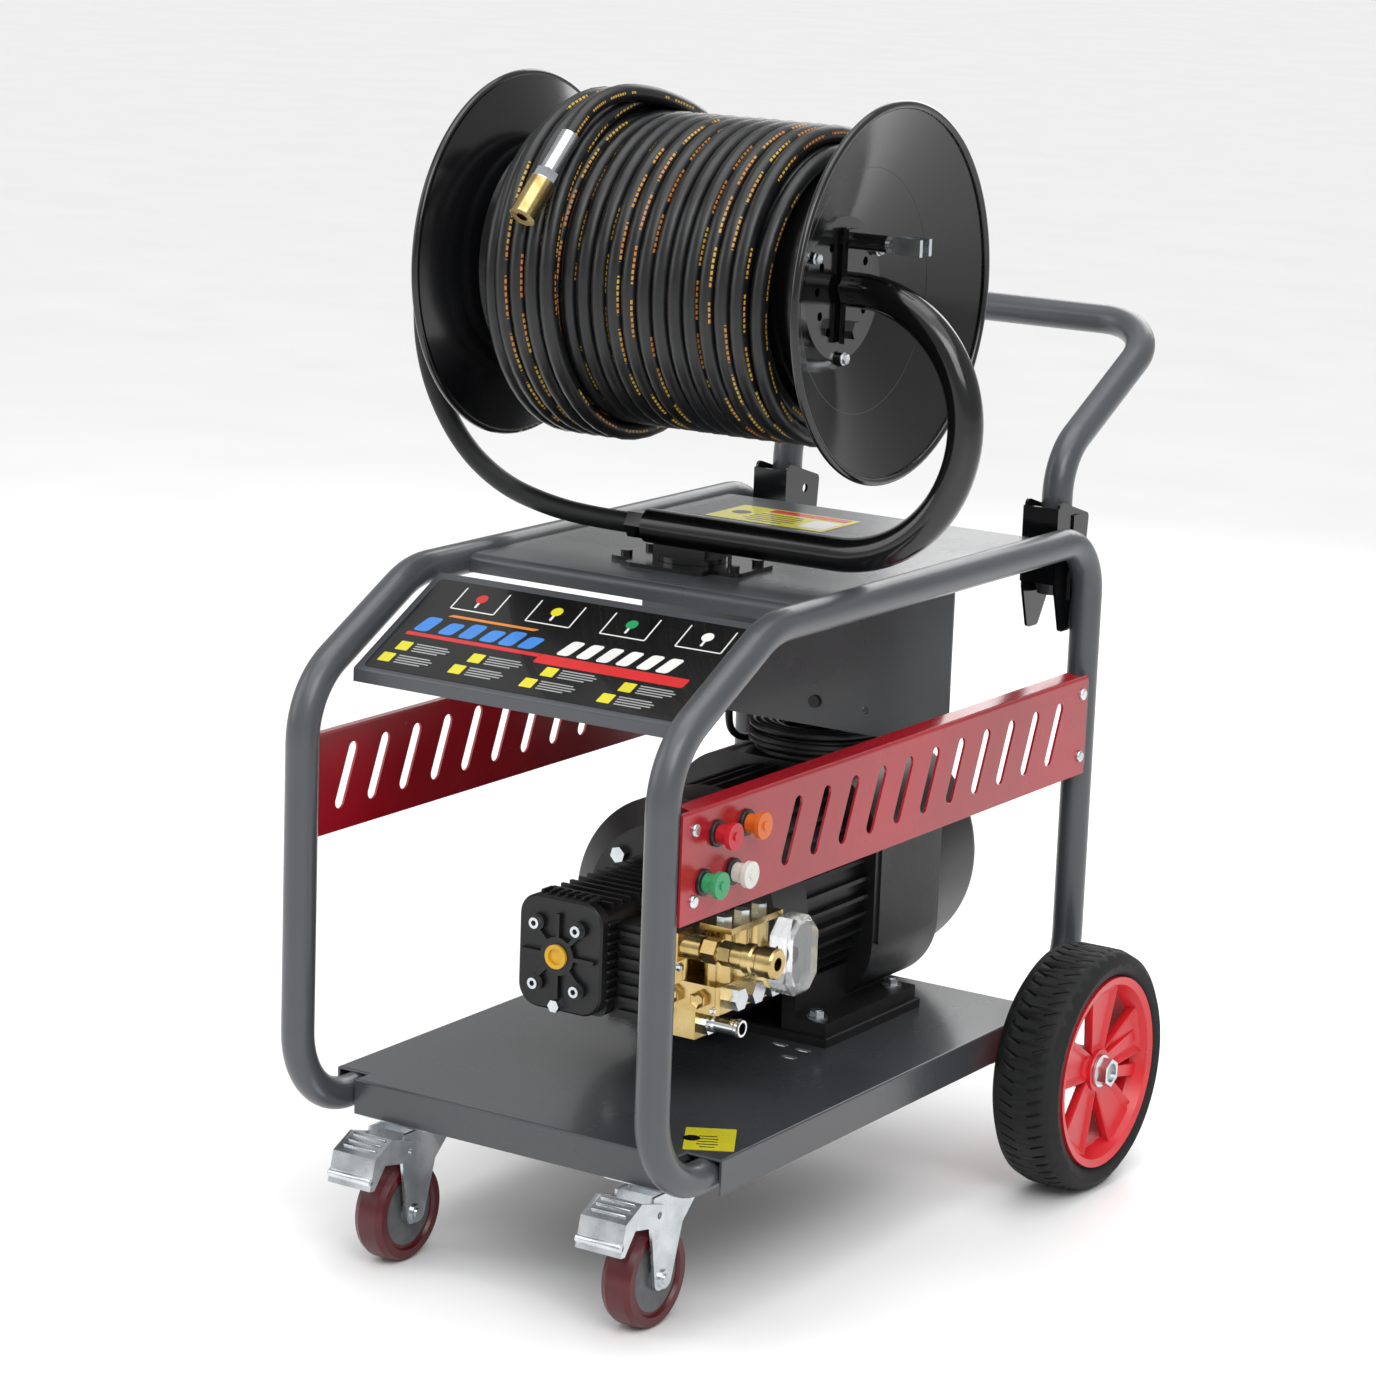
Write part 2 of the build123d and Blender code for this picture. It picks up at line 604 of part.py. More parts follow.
# ==== electric motor ========================================================
base_top_z = deck_top_z + base_plate_h
foot_t = 14.0
bell_rear_y = motor_front_y - 14
stud_spots = [(shaft_x + s * stud_half, y) for s in (-1, 1) for y in (stud_y1, stud_y2)]
motor_axis = Axis((shaft_x, 0, shaft_z), (0, 1, 0))
with BuildPart() as motor_base:
    with Locations((shaft_x, base_front_y, deck_top_z)):
        Box(2 * base_half, base_rear_y - base_front_y, base_plate_h,
            align=(Align.CENTER, Align.MIN, Align.MIN))
    chamfer(motor_base.edges().group_by(Axis.Z)[-1], length=1)
    with Locations(*[(x, y, deck_top_z) for x, y in stud_spots]):
        Cylinder(bolt_r + 0.3, 3 * base_plate_h, mode=Mode.SUBTRACT)
motor_base.part.label = "motor_base"
export_step(motor_base.part, "parts/motor_base.step")


def motor_plane(y):
    """Plane across the motor at y, drawn from the front, extruding backwards."""
    return Plane(origin=(shaft_x, y, shaft_z), x_dir=(-1, 0, 0), z_dir=(0, 1, 0))


with BuildPart() as motor_housing:
    # ribbed front length of the stator
    with BuildSketch(motor_plane(motor_front_y)):
        Circle(motor_round_r - 9)
        with PolarLocations(motor_round_r - 7, 40):
            Rectangle(14, 4)
    extrude(amount=box_front_y - motor_front_y)
    # square-sided rear length
    with BuildSketch(motor_plane(box_front_y)):
        RectangleRounded(2 * motor_half, 2 * motor_half, 72)
    extrude(amount=motor_rear_y - box_front_y)
    # feet
    for side in (-1, 1):
        with Locations((shaft_x + side * stud_half, base_front_y + 4, base_top_z)):
            Box(38, base_rear_y - base_front_y - 8, foot_t, align=(Align.CENTER, Align.MIN, Align.MIN))
        with Locations((shaft_x + side * (stud_half - 25), base_front_y + 4, base_top_z)):
            Box(16, base_rear_y - base_front_y - 8, 50, align=(Align.CENTER, Align.MIN, Align.MIN))
    # raised cover plates on the two flat sides
    for side in (-1, 1):
        with BuildSketch(Plane.YZ.offset(shaft_x + side * motor_half)):
            with Locations(((box_front_y + motor_rear_y) / 2 - 3, shaft_z)):
                RectangleRounded(motor_rear_y - box_front_y - 22, 108, 4)
        extrude(amount=side * 2.5)
    # front end shield, then the hollow and the two shaft bearings
    with BuildSketch(motor_plane(bell_rear_y)):
        Circle(motor_round_r)
    extrude(amount=motor_front_y - bell_rear_y)
    with BuildSketch(motor_plane(motor_front_y)):
        Circle(96)
    extrude(amount=motor_rear_y - 10 - motor_front_y, mode=Mode.SUBTRACT)
    with BuildSketch(motor_plane(bell_rear_y)):
        Circle(shaft_r + fit)
    extrude(amount=motor_rear_y - bell_rear_y, mode=Mode.SUBTRACT)
    with Locations(*[(x, y, base_top_z) for x, y in stud_spots]):
        Cylinder(bolt_r + 0.3, 3 * foot_t, mode=Mode.SUBTRACT)
motor_housing.part.label = "motor_housing"
export_step(motor_housing.part, "parts/motor_housing.step")

with BuildPart() as motor_bolts:
    with BuildSketch(Plane.XY.offset(base_top_z + foot_t)):
        with Locations(*stud_spots):
            Circle(11)
    extrude(amount=2)
    with BuildSketch(Plane.XY.offset(base_top_z + foot_t + 2)):
        with Locations(*stud_spots):
            RegularPolygon(8.2, 6)
    extrude(amount=6)
    with BuildSketch(Plane.XY.offset(deck_top_z - sheet)):
        with Locations(*stud_spots):
            RegularPolygon(8.2, 6)
    extrude(amount=-7)
    with BuildSketch(Plane.XY.offset(deck_top_z - sheet - 7)):
        with Locations(*stud_spots):
            Circle(bolt_r)
    extrude(amount=7 + sheet + base_plate_h + foot_t + 9)
    # four bolts in the front of the bell housing
    with BuildSketch(motor_plane(bell_front_y)):
        with PolarLocations(77, 4, start_angle=45):
            RegularPolygon(8.6, 6)
    extrude(amount=-7)
    with BuildSketch(motor_plane(bell_front_y)):
        with PolarLocations(77, 4, start_angle=45):
            Circle(4)
    extrude(amount=9)
motor_bolts.part.label = "motor_bolts"
export_step(motor_bolts.part, "parts/motor_bolts.step")

# Bell housing between the motor and the pump's crankcase.
with BuildPart() as bell_housing:
    with BuildSketch(Plane.XY):
        with BuildLine():
            Polyline((62, bell_front_y), (92, bell_front_y), (bell_r, bell_front_y + 18), (bell_r, bell_rear_y),
                     (96, bell_rear_y), (96, bell_front_y + 26), (62, bell_front_y + 10), close=True)
        make_face()
    revolve(axis=Axis.Y)
    with Locations(Location((0, bell_front_y, 0), (-90, 0, 0))):
        with PolarLocations(77, 4, start_angle=45):
            Cylinder(4, 9, align=(Align.CENTER, Align.CENTER, Align.MIN), mode=Mode.SUBTRACT)
bell_housing.part.locate(Location((shaft_x, 0, shaft_z)))
bell_housing.part.label = "bell_housing"
export_step(bell_housing.part, "parts/bell_housing.step")

# Fan cowl: a cup with a slotted back.
with BuildPart() as fan_cowl:
    with BuildSketch(motor_plane(motor_rear_y)):
        Circle(cowl_r)
    extrude(amount=cowl_rear_y - motor_rear_y)
    fillet(fan_cowl.edges().group_by(Axis.Y)[-1], radius=14)
    with BuildSketch(motor_plane(motor_rear_y)):
        Circle(cowl_r - 3)
    extrude(amount=cowl_rear_y - motor_rear_y - 12, mode=Mode.SUBTRACT)
    with BuildSketch(motor_plane(motor_rear_y)):
        Circle(cowl_r - 14)
    extrude(amount=cowl_rear_y - motor_rear_y - 3, mode=Mode.SUBTRACT)
    with BuildSketch(motor_plane(cowl_rear_y - 5)):
        for r, n in ((38, 8), (62, 12), (86, 18)):
            with PolarLocations(r, n):
                SlotOverall(15, 6)
    extrude(amount=10, mode=Mode.SUBTRACT)
fan_cowl.part.label = "fan_cowl"
export_step(fan_cowl.part, "parts/fan_cowl.step")

# Shaft, rotor and cooling fan turn together.
with BuildPart() as rotor:
    with BuildSketch(motor_plane(bell_front_y + 14)):
        Circle(shaft_r)
    extrude(amount=motor_rear_y + 44 - bell_front_y - 14)
    with BuildSketch(motor_plane(motor_front_y + 26)):
        Circle(84)
    extrude(amount=motor_rear_y - 70 - motor_front_y)
    with BuildSketch(motor_plane(motor_rear_y + 10)):
        Circle(30)
    extrude(amount=30)
    with BuildSketch(motor_plane(motor_rear_y + 10)):
        with PolarLocations(62, 8):
            Rectangle(76, 4)
    extrude(amount=30)
rotor.part.label = "rotor"
export_step(rotor.part, "parts/rotor.step")

# ==== pump ==================================================================
case_rear_y = bell_front_y
cover_y = case_front_y - 13
with BuildPart() as crankcase:
    with Locations((shaft_x, case_front_y, case_low_z)):
        Box(2 * case_half, case_rear_y - case_front_y, case_top_z - 7 - case_low_z,
            align=(Align.CENTER, Align.MIN, Align.MIN))
    fillet(crankcase.edges().filter_by(Axis.Y), radius=10)
    # cooling ribs across the top
    with Locations((shaft_x, case_front_y + 14, case_top_z - 16)):
        with Locations(*[(0, 15 * i, 0) for i in range(11)]):
            Box(2 * case_half - 14, 4, 16, align=(Align.CENTER, Align.MIN, Align.MIN))
    # flange against the bell housing
    with BuildSketch(motor_plane(case_rear_y - 10)):
        Circle(64)
    extrude(amount=10)
    # plunger guides on the side
    with Locations((shaft_x + case_half - 6, pump_mid_y, 301)):
        Box(head_x - shaft_x - case_half + 6, 136, 94, align=(Align.MIN, Align.CENTER, Align.CENTER))
    with Locations((shaft_x + case_half, pump_mid_y, 301)):
        with Locations(*[(6, 0, 13 * i) for i in (-3, -2, -1, 0, 1, 2, 3)]):
            Box(head_x - shaft_x - case_half - 8, 146, 4, align=(Align.MIN, Align.CENTER, Align.CENTER))
    # bore for the motor shaft's end
    with BuildSketch(motor_plane(case_rear_y - 60)):
        Circle(18)
    extrude(amount=60, mode=Mode.SUBTRACT)
crankcase.part.label = "crankcase"
export_step(crankcase.part, "parts/crankcase.step")

cover_spots = [(-24, -30), (24, -30), (-24, 30), (24, 30)]
with BuildPart() as crank_cover:
    with BuildSketch(motor_plane(cover_y)):
        RectangleRounded(96, 112, 22)
    extrude(amount=case_front_y - cover_y)
    chamfer(crank_cover.edges().group_by(Axis.Y)[0], length=2)
    with BuildSketch(motor_plane(cover_y - 5)):
        Circle(19)
        with PolarLocations(30, 8):
            Rectangle(24, 4)
        Circle(12, mode=Mode.SUBTRACT)
    extrude(amount=5)
    with BuildSketch(motor_plane(cover_y - 5)):
        with Locations(*cover_spots):
            Circle(8)
    extrude(amount=5)
crank_cover.part.label = "crank_cover"
export_step(crank_cover.part, "parts/crank_cover.step")

# Yellow oil fittings: the round level glass and the filler cap.
filler_y = 234.0
guide_top_z = 301 + 47.0
with BuildPart() as oil_fittings:
    with BuildSketch(motor_plane(cover_y)):
        Circle(12)
    extrude(amount=-8)
    with BuildSketch(motor_plane(cover_y - 8)):
        Circle(8)
    extrude(amount=3, mode=Mode.SUBTRACT)
    with Locations((shaft_x + case_half + 13, filler_y, guide_top_z)):
        Cylinder(9, 10, align=(Align.CENTER, Align.CENTER, Align.MIN))
        with Locations((0, 0, 10)):
            Cylinder(13, 12, align=(Align.CENTER, Align.CENTER, Align.MIN))
oil_fittings.part.label = "oil_fittings"
export_step(oil_fittings.part, "parts/oil_fittings.step")

# Brass manifold with three valve towers, an elbow below for the water inlet and
# a boss in front for the outlet.
block_x2 = 140.0
block_low_z, block_top_z = 272.0, 300.0
tower_inset, tower_r, tower_h = 15.0, 14.0, 52.0
inlet_x, inlet_y, inlet_z = 112.0, 225.0, 258.0
outlet_x, outlet_y, outlet_z = 106.0, 198.0, 338.0
clear_y, clear_z, clear_x = 297.0, 318.0, 155.0
tower_ys = [pump_mid_y + plunger_pitch * i for i in (-1, 0, 1)]
with BuildPart() as manifold:
    with Locations((head_x, pump_mid_y, block_low_z)):
        Box(block_x2 - head_x, 108, block_top_z - block_low_z, align=(Align.MIN, Align.CENTER, Align.MIN))
    with Locations((head_x, pump_mid_y, block_top_z)):
        Box(28, 108, 42, align=(Align.MIN, Align.CENTER, Align.MIN))
    fillet(manifold.edges().filter_by(Axis.Z), radius=5)
    with Locations(*[(block_x2 - tower_inset, y, block_top_z) for y in tower_ys]):
        Cylinder(tower_r, tower_h, align=(Align.CENTER, Align.CENTER, Align.MIN))
    with Locations((block_x2 - tower_inset + 5, pump_mid_y, block_top_z + tower_h)):
        Box(36, 2 * plunger_pitch + 30, 6, align=(Align.CENTER, Align.CENTER, Align.MIN))
    # inlet elbow
    with Locations((inlet_x, inlet_y, block_low_z + 2)):
        Box(32, 30, 2 + block_low_z - inlet_z + 16, align=(Align.MAX, Align.CENTER, Align.MAX))
    # outlet boss
    with Locations((outlet_x, outlet_y, outlet_z)):
        Box(32, 28, 28, align=(Align.MAX, Align.CENTER, Align.CENTER))
    # neck of the guarded regulator
    with Locations(Location((block_x2 - tower_inset, tower_ys[-1] + 3, clear_z), (0, 90, 0))):
        Cylinder(9, clear_x - block_x2 + tower_inset, align=(Align.CENTER, Align.CENTER, Align.MIN))
manifold.part.label = "manifold"
export_step(manifold.part, "parts/manifold.step")

with BuildPart() as pump_fasteners:
    # socket screws and the drain plug on the crankcase cover
    with BuildSketch(motor_plane(cover_y - 5)):
        with Locations(*cover_spots):
            Circle(5.5)
            RegularPolygon(3, 6, mode=Mode.SUBTRACT)
    extrude(amount=-6)
    with BuildSketch(motor_plane(cover_y)):
        with Locations((0, -49)):
            RegularPolygon(6.5, 6)
    extrude(amount=-9)
    # valve caps and tower bolts
    with BuildSketch(Plane.YZ.offset(block_x2)):
        with Locations(*[(y, (block_low_z + block_top_z) / 2) for y in tower_ys]):
            RegularPolygon(11.5, 6)
    extrude(amount=13)
    with BuildSketch(Plane.XY.offset(block_top_z + tower_h + 6)):
        with Locations(*[(block_x2 - tower_inset + 5, y) for y in tower_ys]):
            RegularPolygon(8.2, 6)
    extrude(amount=7)
pump_fasteners.part.label = "pump_fasteners"
export_step(pump_fasteners.part, "parts/pump_fasteners.step")

# Plated inlet nipple, a hexagon and a hose tail.
nipple_bore_r = 6.0
with BuildPart() as inlet_nipple:
    with BuildSketch(Plane.YZ):
        RegularPolygon(13, 6)
    extrude(amount=10)
    with BuildSketch(Plane.XY):
        with BuildLine():
            Polyline((10, 0), (44, 0), (44, 8.2), (42, 9), (39, 9), (37, 7.8), (16, 7.8), (14, 9.5), (10, 9.5),
                     close=True)
        make_face()
    revolve(axis=Axis.X)
    with Locations(Location((0, 0, 0), (0, 90, 0))):
        Cylinder(nipple_bore_r, 100, mode=Mode.SUBTRACT)
inlet_nipple.part.locate(Location((inlet_x, inlet_y, inlet_z)))
inlet_nipple.part.label = "inlet_nipple"
export_step(inlet_nipple.part, "parts/inlet_nipple.step")

# High-pressure outlet: adapter, two hexagons and a quick coupler.
coupler_bore_r = 6.5
with BuildPart() as outlet_coupler:
    with BuildSketch(Plane.XY):
        with BuildLine():
            Polyline((0, 0), (103, 0), (103, 13.4), (101, 15), (86, 15), (84, 13.4), (80, 13.4), (78, 15),
                     (70, 15), (68, 12.5), (57, 12.5), (55, 9.5), (22, 9.5), (22, 12.4), (0, 12.4), close=True)
        make_face()
    revolve(axis=Axis.X)
    with BuildSketch(Plane.YZ.offset(24)):
        RegularPolygon(13, 6)
    extrude(amount=15)
    with BuildSketch(Plane.YZ.offset(42)):
        RegularPolygon(12.2, 6, rotation=20)
    extrude(amount=13)
    with Locations(Location((103, 0, 0), (0, 90, 0))):
        Cylinder(coupler_bore_r, 34, align=(Align.CENTER, Align.CENTER, Align.MAX), mode=Mode.SUBTRACT)
outlet_coupler.part.locate(Location((outlet_x, outlet_y, outlet_z)))
outlet_coupler.part.label = "outlet_coupler"
export_step(outlet_coupler.part, "parts/outlet_coupler.step")

# Clear eight-sided guard over the regulator.
with BuildPart() as clear_cover:
    with BuildSketch(Plane.YZ.offset(clear_x)):
        with Locations((clear_y, clear_z)):
            Rectangle(54, 76)
        chamfer(vertices(), length=15)
    extrude(amount=24)
    chamfer(clear_cover.faces().sort_by(Axis.X)[-1].edges(), length=4)
clear_cover.part.label = "clear_cover"
export_step(clear_cover.part, "parts/clear_cover.step")

# ==== power cable ===========================================================
cable_r = 4.0
coil_x, coil_y, coil_z = -2.0, 612.0, shaft_z + motor_half + gap
coil_in_r, coil_out_r, coil_h = 43.0, 76.0, 32.6
with BuildPart() as cable_glands:
    for x in (gland_x1, gland_x2):
        with Locations((x, gland_y, box_low_z)):
            Cylinder(11, 5, align=(Align.CENTER, Align.CENTER, Align.MAX))
            with Locations((0, 0, -5)):
                Cylinder(8.5, box_low_z - 5 - gland_low_z, align=(Align.CENTER, Align.CENTER, Align.MAX))
    fillet(cable_glands.edges().group_by(Axis.Z)[0], radius=2)
cable_glands.part.label = "cable_glands"
export_step(cable_glands.part, "parts/cable_glands.step")


def corner_radii(points):
    """Arc radius of each inner point: 0.45 of its shorter run over tan(half turn)."""
    radii = []
    for a, b, c in zip(points, points[1:], points[2:]):
        first, second = Vector(*b) - Vector(*a), Vector(*c) - Vector(*b)
        half = radians(first.get_angle(second)) / 2
        radii.append(round(0.45 * min(first.length, second.length) / tan(half), 2))
    return radii


def tube(route, radius):
    """Solid tube along a hand-chosen route of straight runs and tangent arcs."""
    with BuildPart() as made:
        with BuildLine() as line:
            FilletPolyline(*route, radius=corner_radii(route))
        with BuildSketch(Plane(line.line @ 0, z_dir=line.line % 0)):
            Circle(radius)
        sweep(path=line.line)
    return made.part


lay_z = coil_z + cable_r
# from the left gland down to the coil
cable_in_route = [(gland_x1, gland_y, gland_low_z), (gland_x1, gland_y, 461), (-85, 573, 449),
                  (-81, 585, lay_z + 1.3), (-76.5, 598, lay_z + 0.3), (-73.5, coil_y, lay_z)]
# from the top turn of the coil to the plug lying on the fan cowl
top_lay_z = coil_z + coil_h - cable_r
cable_out_route = [(-73.5, coil_y, top_lay_z), (-73, 632, top_lay_z - 0.3), (-69, 652, top_lay_z - 2),
                   (-58, 669, top_lay_z - 6), (-42, 684, top_lay_z - 10.8), (-27, 699, top_lay_z - 11)]
cable_in_tube = tube(cable_in_route, cable_r)
cable_in_tube.label = "cable_in"
export_step(cable_in_tube, "parts/cable_in.step")
cable_out_tube = tube(cable_out_route, cable_r)
cable_out_tube.label = "cable_out"
export_step(cable_out_tube, "parts/cable_out.step")
print("cable radii", corner_radii(cable_in_route), corner_radii(cable_out_route))

with BuildPart() as cable_coil:
    with BuildSketch(Plane.XY.offset(coil_z)):
        with Locations((coil_x, coil_y)):
            Circle(coil_out_r)
            Circle(coil_in_r, mode=Mode.SUBTRACT)
    extrude(amount=coil_h)
    fillet(cable_coil.edges(), radius=cable_r)
cable_coil.part.label = "cable_coil"
export_step(cable_coil.part, "parts/cable_coil.step")

with BuildPart() as plug:
    with BuildSketch(Plane.XY):
        with BuildLine():
            Polyline((0, 0), (0, 5.5), (16, 7.5), (22, 13), (44, 15), (50, 17), (58, 17), (58, 0), close=True)
        make_face()
    revolve(axis=Axis.X)
    with Locations(Location((58, 0, 0), (0, 90, 0))):
        with Locations((-9.5, 0, 0), (9.5, 0, 0)):
            Cylinder(2.4, 19, align=(Align.CENTER, Align.CENTER, Align.MIN))
plug.part.locate(Location(cable_out_route[-1], (0, 0, 45)))
plug.part.label = "plug"
export_step(plug.part, "parts/plug.step")

# ==== folding handle ========================================================
bracket_front_y = pivot_y - 32
bracket_rear_y = pivot_y + 26
bracket_top_z = pivot_z + 78
bracket_low_z = pivot_z - 62
with BuildPart() as handle_brackets:
    for side in (-1, 1):
        with BuildSketch(Plane.YZ.offset(grip_x + side * bracket_gap / 2)):
            with BuildLine():
                FilletPolyline((bracket_front_y, bracket_low_z + 46), (bracket_front_y, bracket_top_z),
                               (bracket_rear_y + 8, bracket_top_z - 20), (bracket_rear_y, pivot_z - 26),
                               (pivot_y + 4, bracket_low_z), (pivot_y - 18, bracket_low_z),
                               close=True, radius=6)
            make_face()
            with Locations((pivot_y + 5, pivot_z + 47)):
                Circle(bolt_r, mode=Mode.SUBTRACT)
        extrude(amount=side * cheek)
    # weld pad against the post
    with Locations((grip_x + bracket_gap / 2 + cheek - 1, pivot_y + 3, pivot_z - 30)):
        Box(hoop_x - tube_r - grip_x - bracket_gap / 2 - cheek + 1.6, 12, 90,
            align=(Align.MIN, Align.CENTER, Align.MIN))
    # web closing the front of the bracket
    with Locations((grip_x, bracket_front_y, bracket_low_z + 52)):
        Box(bracket_gap + 2 * cheek, cheek, bracket_top_z - bracket_low_z - 60,
            align=(Align.CENTER, Align.MAX, Align.MIN))
    # pivot bolt and its inner nut
    with Locations(Location((grip_x, pivot_y, pivot_z), (0, 90, 0))):
        Cylinder(bolt_r, bracket_gap + 2 * cheek)
    with BuildSketch(Plane.YZ.offset(grip_x - bracket_gap / 2 - cheek)):
        with Locations((pivot_y, pivot_z)):
            RegularPolygon(9.2, 6)
    extrude(amount=-6)
    mirror(about=Plane.YZ)
handle_brackets.part.label = "handle_brackets"
export_step(handle_brackets.part, "parts/handle_brackets.step")

with BuildPart() as handle:
    with BuildLine() as grip_line:
        FilletPolyline((-grip_x, pivot_y, leg_low_z), (-grip_x, pivot_y, leg_bend_z), (-grip_x, grip_y, grip_z),
                       (grip_x, grip_y, grip_z), (grip_x, pivot_y, leg_bend_z), (grip_x, pivot_y, leg_low_z),
                       radius=grip_bend_r)
    with BuildSketch(Plane(grip_line.line @ 0, z_dir=grip_line.line % 0)):
        Circle(tube_r)
        Circle(tube_r - tube_wall, mode=Mode.SUBTRACT)
    sweep(path=grip_line.line)
    # closed ends of the legs
    for side in (-1, 1):
        with Locations((side * grip_x, pivot_y, leg_low_z)):
            Cylinder(tube_r, 3, align=(Align.CENTER, Align.CENTER, Align.MAX))
    with Locations(Location((0, pivot_y, pivot_z), (0, 90, 0))):
        Cylinder(bolt_r + fit, 2 * grip_x + 60, mode=Mode.SUBTRACT)
handle.part.label = "handle"
export_step(handle.part, "parts/handle.step")

# ==== hose reel =============================================================
saddle_half_y = 25.0
saddle_top_z = arm_low_z - 12.0
king_r = 8.0
reel_plate_t = 4.0
reel_plate_z = top_deck_z + reel_plate_t
with BuildPart() as reel_base:
    with BuildSketch(Plane.XY.offset(top_deck_z)):
        with Locations((0, reel_y)):
            RectangleRounded(150, 70, 8)
            RectangleRounded(90, 110, 8)
    extrude(amount=reel_plate_t)
    with Locations((0, reel_y, reel_plate_z)):
        Cylinder(king_r, 9, align=(Align.CENTER, Align.CENTER, Align.MIN))
        with GridLocations(124, 44, 2, 2):
            Cylinder(6, 5, align=(Align.CENTER, Align.CENTER, Align.MIN))
reel_base.part.label = "reel_base"
export_step(reel_base.part, "parts/reel_base.step")

bar_x = hub_x + 3.0
bar_t = 6.0
pin_z = reel_z + index_r
sleeve_end_x = 205.0
stub_r = 8.0
with BuildPart() as main_arm:
    with BuildLine() as arm_line:
        FilletPolyline((arm_end_x, reel_y, arm_low_z), (rim_x + 84, reel_y, arm_low_z),
                       (rim_x + 84, reel_y, reel_z), (bar_x + bar_t / 2, reel_y, reel_z),
                       radius=[arm_low_r - 0.5, arm_out_r])
    with BuildSketch(Plane(arm_line.line @ 0, z_dir=arm_line.line % 0)):
        Circle(arm_r)
        Circle(arm_r - arm_wall, mode=Mode.SUBTRACT)
    sweep(path=arm_line.line)
    # saddle turning on the base's king pin
    with Locations((0, reel_y, reel_plate_z + gap)):
        Box(60, 2 * saddle_half_y, saddle_top_z - reel_plate_z - gap, align=(Align.CENTER, Align.CENTER, Align.MIN))
        Cylinder(35, 5, align=(Align.CENTER, Align.CENTER, Align.MIN))
        Cylinder(king_r + fit, 9.5, align=(Align.CENTER, Align.CENTER, Align.MIN), mode=Mode.SUBTRACT)
    # upright bar at the hub, with the stub axle and the lock pin's sleeve
    with Locations((bar_x, reel_y, reel_z + 3)):
        Box(bar_t, 16, 108, align=(Align.MIN, Align.CENTER, Align.CENTER))
    with Locations(Location((bar_x + bar_t, reel_y, reel_z), (0, 90, 0))):
        Cylinder(arm_r, 5, align=(Align.CENTER, Align.CENTER, Align.MIN))
        Cylinder(stub_r, bar_t + 36, align=(Align.CENTER, Align.CENTER, Align.MAX))
    with Locations(Location((bar_x, reel_y, pin_z), (0, 90, 0))):
        Cylinder(8, sleeve_end_x - bar_x, align=(Align.CENTER, Align.CENTER, Align.MIN))
        Cylinder(pin_r + fit, sleeve_end_x - bar_x, align=(Align.CENTER, Align.CENTER, Align.MIN),
                 mode=Mode.SUBTRACT)
    with BuildSketch(Plane.YZ.offset(bar_x + bar_t)):
        with Locations((reel_y, reel_z - 38)):
            RegularPolygon(9.2, 6)
    extrude(amount=9)
    # swivel nut for the feed hose
    with BuildSketch(Plane.YZ.offset(arm_end_x - 20)):
        with Locations((reel_y, arm_low_z)):
            RegularPolygon(14.5, 6)
    extrude(amount=20)
main_arm.part.label = "main_arm"
export_step(main_arm.part, "parts/main_arm.step")

# Elbow on the left hub; the feed hose hangs from it to the arm's swivel nut.
elbow_x = 173.0
elbow_end = (-189.0, reel_y, 987.4)
with BuildPart() as hub_elbow:
    with Locations(Location((-bar_x, reel_y, reel_z), (0, -90, 0))):
        Cylinder(14, 30, align=(Align.CENTER, Align.CENTER, Align.MIN))
        Cylinder(stub_r, 32, align=(Align.CENTER, Align.CENTER, Align.MAX))
    with BuildSketch(Plane(origin=(-elbow_x, reel_y, reel_z), x_dir=(0, 1, 0),
                           z_dir=Vector(*elbow_end) - Vector(-elbow_x, reel_y, reel_z))):
        Circle(10)
    extrude(amount=(Vector(*elbow_end) - Vector(-elbow_x, reel_y, reel_z)).length - 24)
    with BuildSketch(Plane(origin=elbow_end, x_dir=(0, 1, 0),
                           z_dir=Vector(-elbow_x, reel_y, reel_z) - Vector(*elbow_end))):
        Circle(12)
    extrude(amount=26)
hub_elbow.part.label = "hub_elbow"
export_step(hub_elbow.part, "parts/hub_elbow.step")

feed_route = [(-189, 350, 987.4), (-203, 350, 1015.6), (-227.8, 350, 1035), (-258.4, 350, 1041.7),
              (-288.9, 350, 1034.5), (-313.4, 350, 1014.9), (-326.9, 350, 986.6), (-331.5, 350, 945),
              (-332.5, 350, 893), (-328, 350, 845), (-310, 350, 798), (-275, 350, 751), (-226, 350, 720),
              (-170, 350, 706.5), (-120, 350, 702), (-72, 350, 702)]
feed_hose = tube(feed_route, side_arm_r)
feed_hose.label = "feed_hose"
export_step(feed_hose, "parts/feed_hose.step")
print("feed hose radii", corner_radii(feed_route))

# Spring-loaded lock pin, drawn out of the drum.
lock_travel = 9.0
with BuildPart() as lock_pin:
    with Locations(Location((bar_x, reel_y, pin_z), (0, 90, 0))):
        Cylinder(pin_r, sleeve_end_x + lock_travel + 8 - bar_x, align=(Align.CENTER, Align.CENTER, Align.MIN))
    with Locations((sleeve_end_x + lock_travel + 0.5, reel_y, pin_z)):
        Box(30, 22, 16, align=(Align.MIN, Align.CENTER, Align.CENTER))
    with Locations((sleeve_end_x + lock_travel + 8.5, reel_y, pin_z)):
        Box(30, 12, 18, align=(Align.MIN, Align.CENTER, Align.CENTER), mode=Mode.SUBTRACT)
lock_pin.part.label = "lock_pin"
export_step(lock_pin.part, "parts/lock_pin.step")

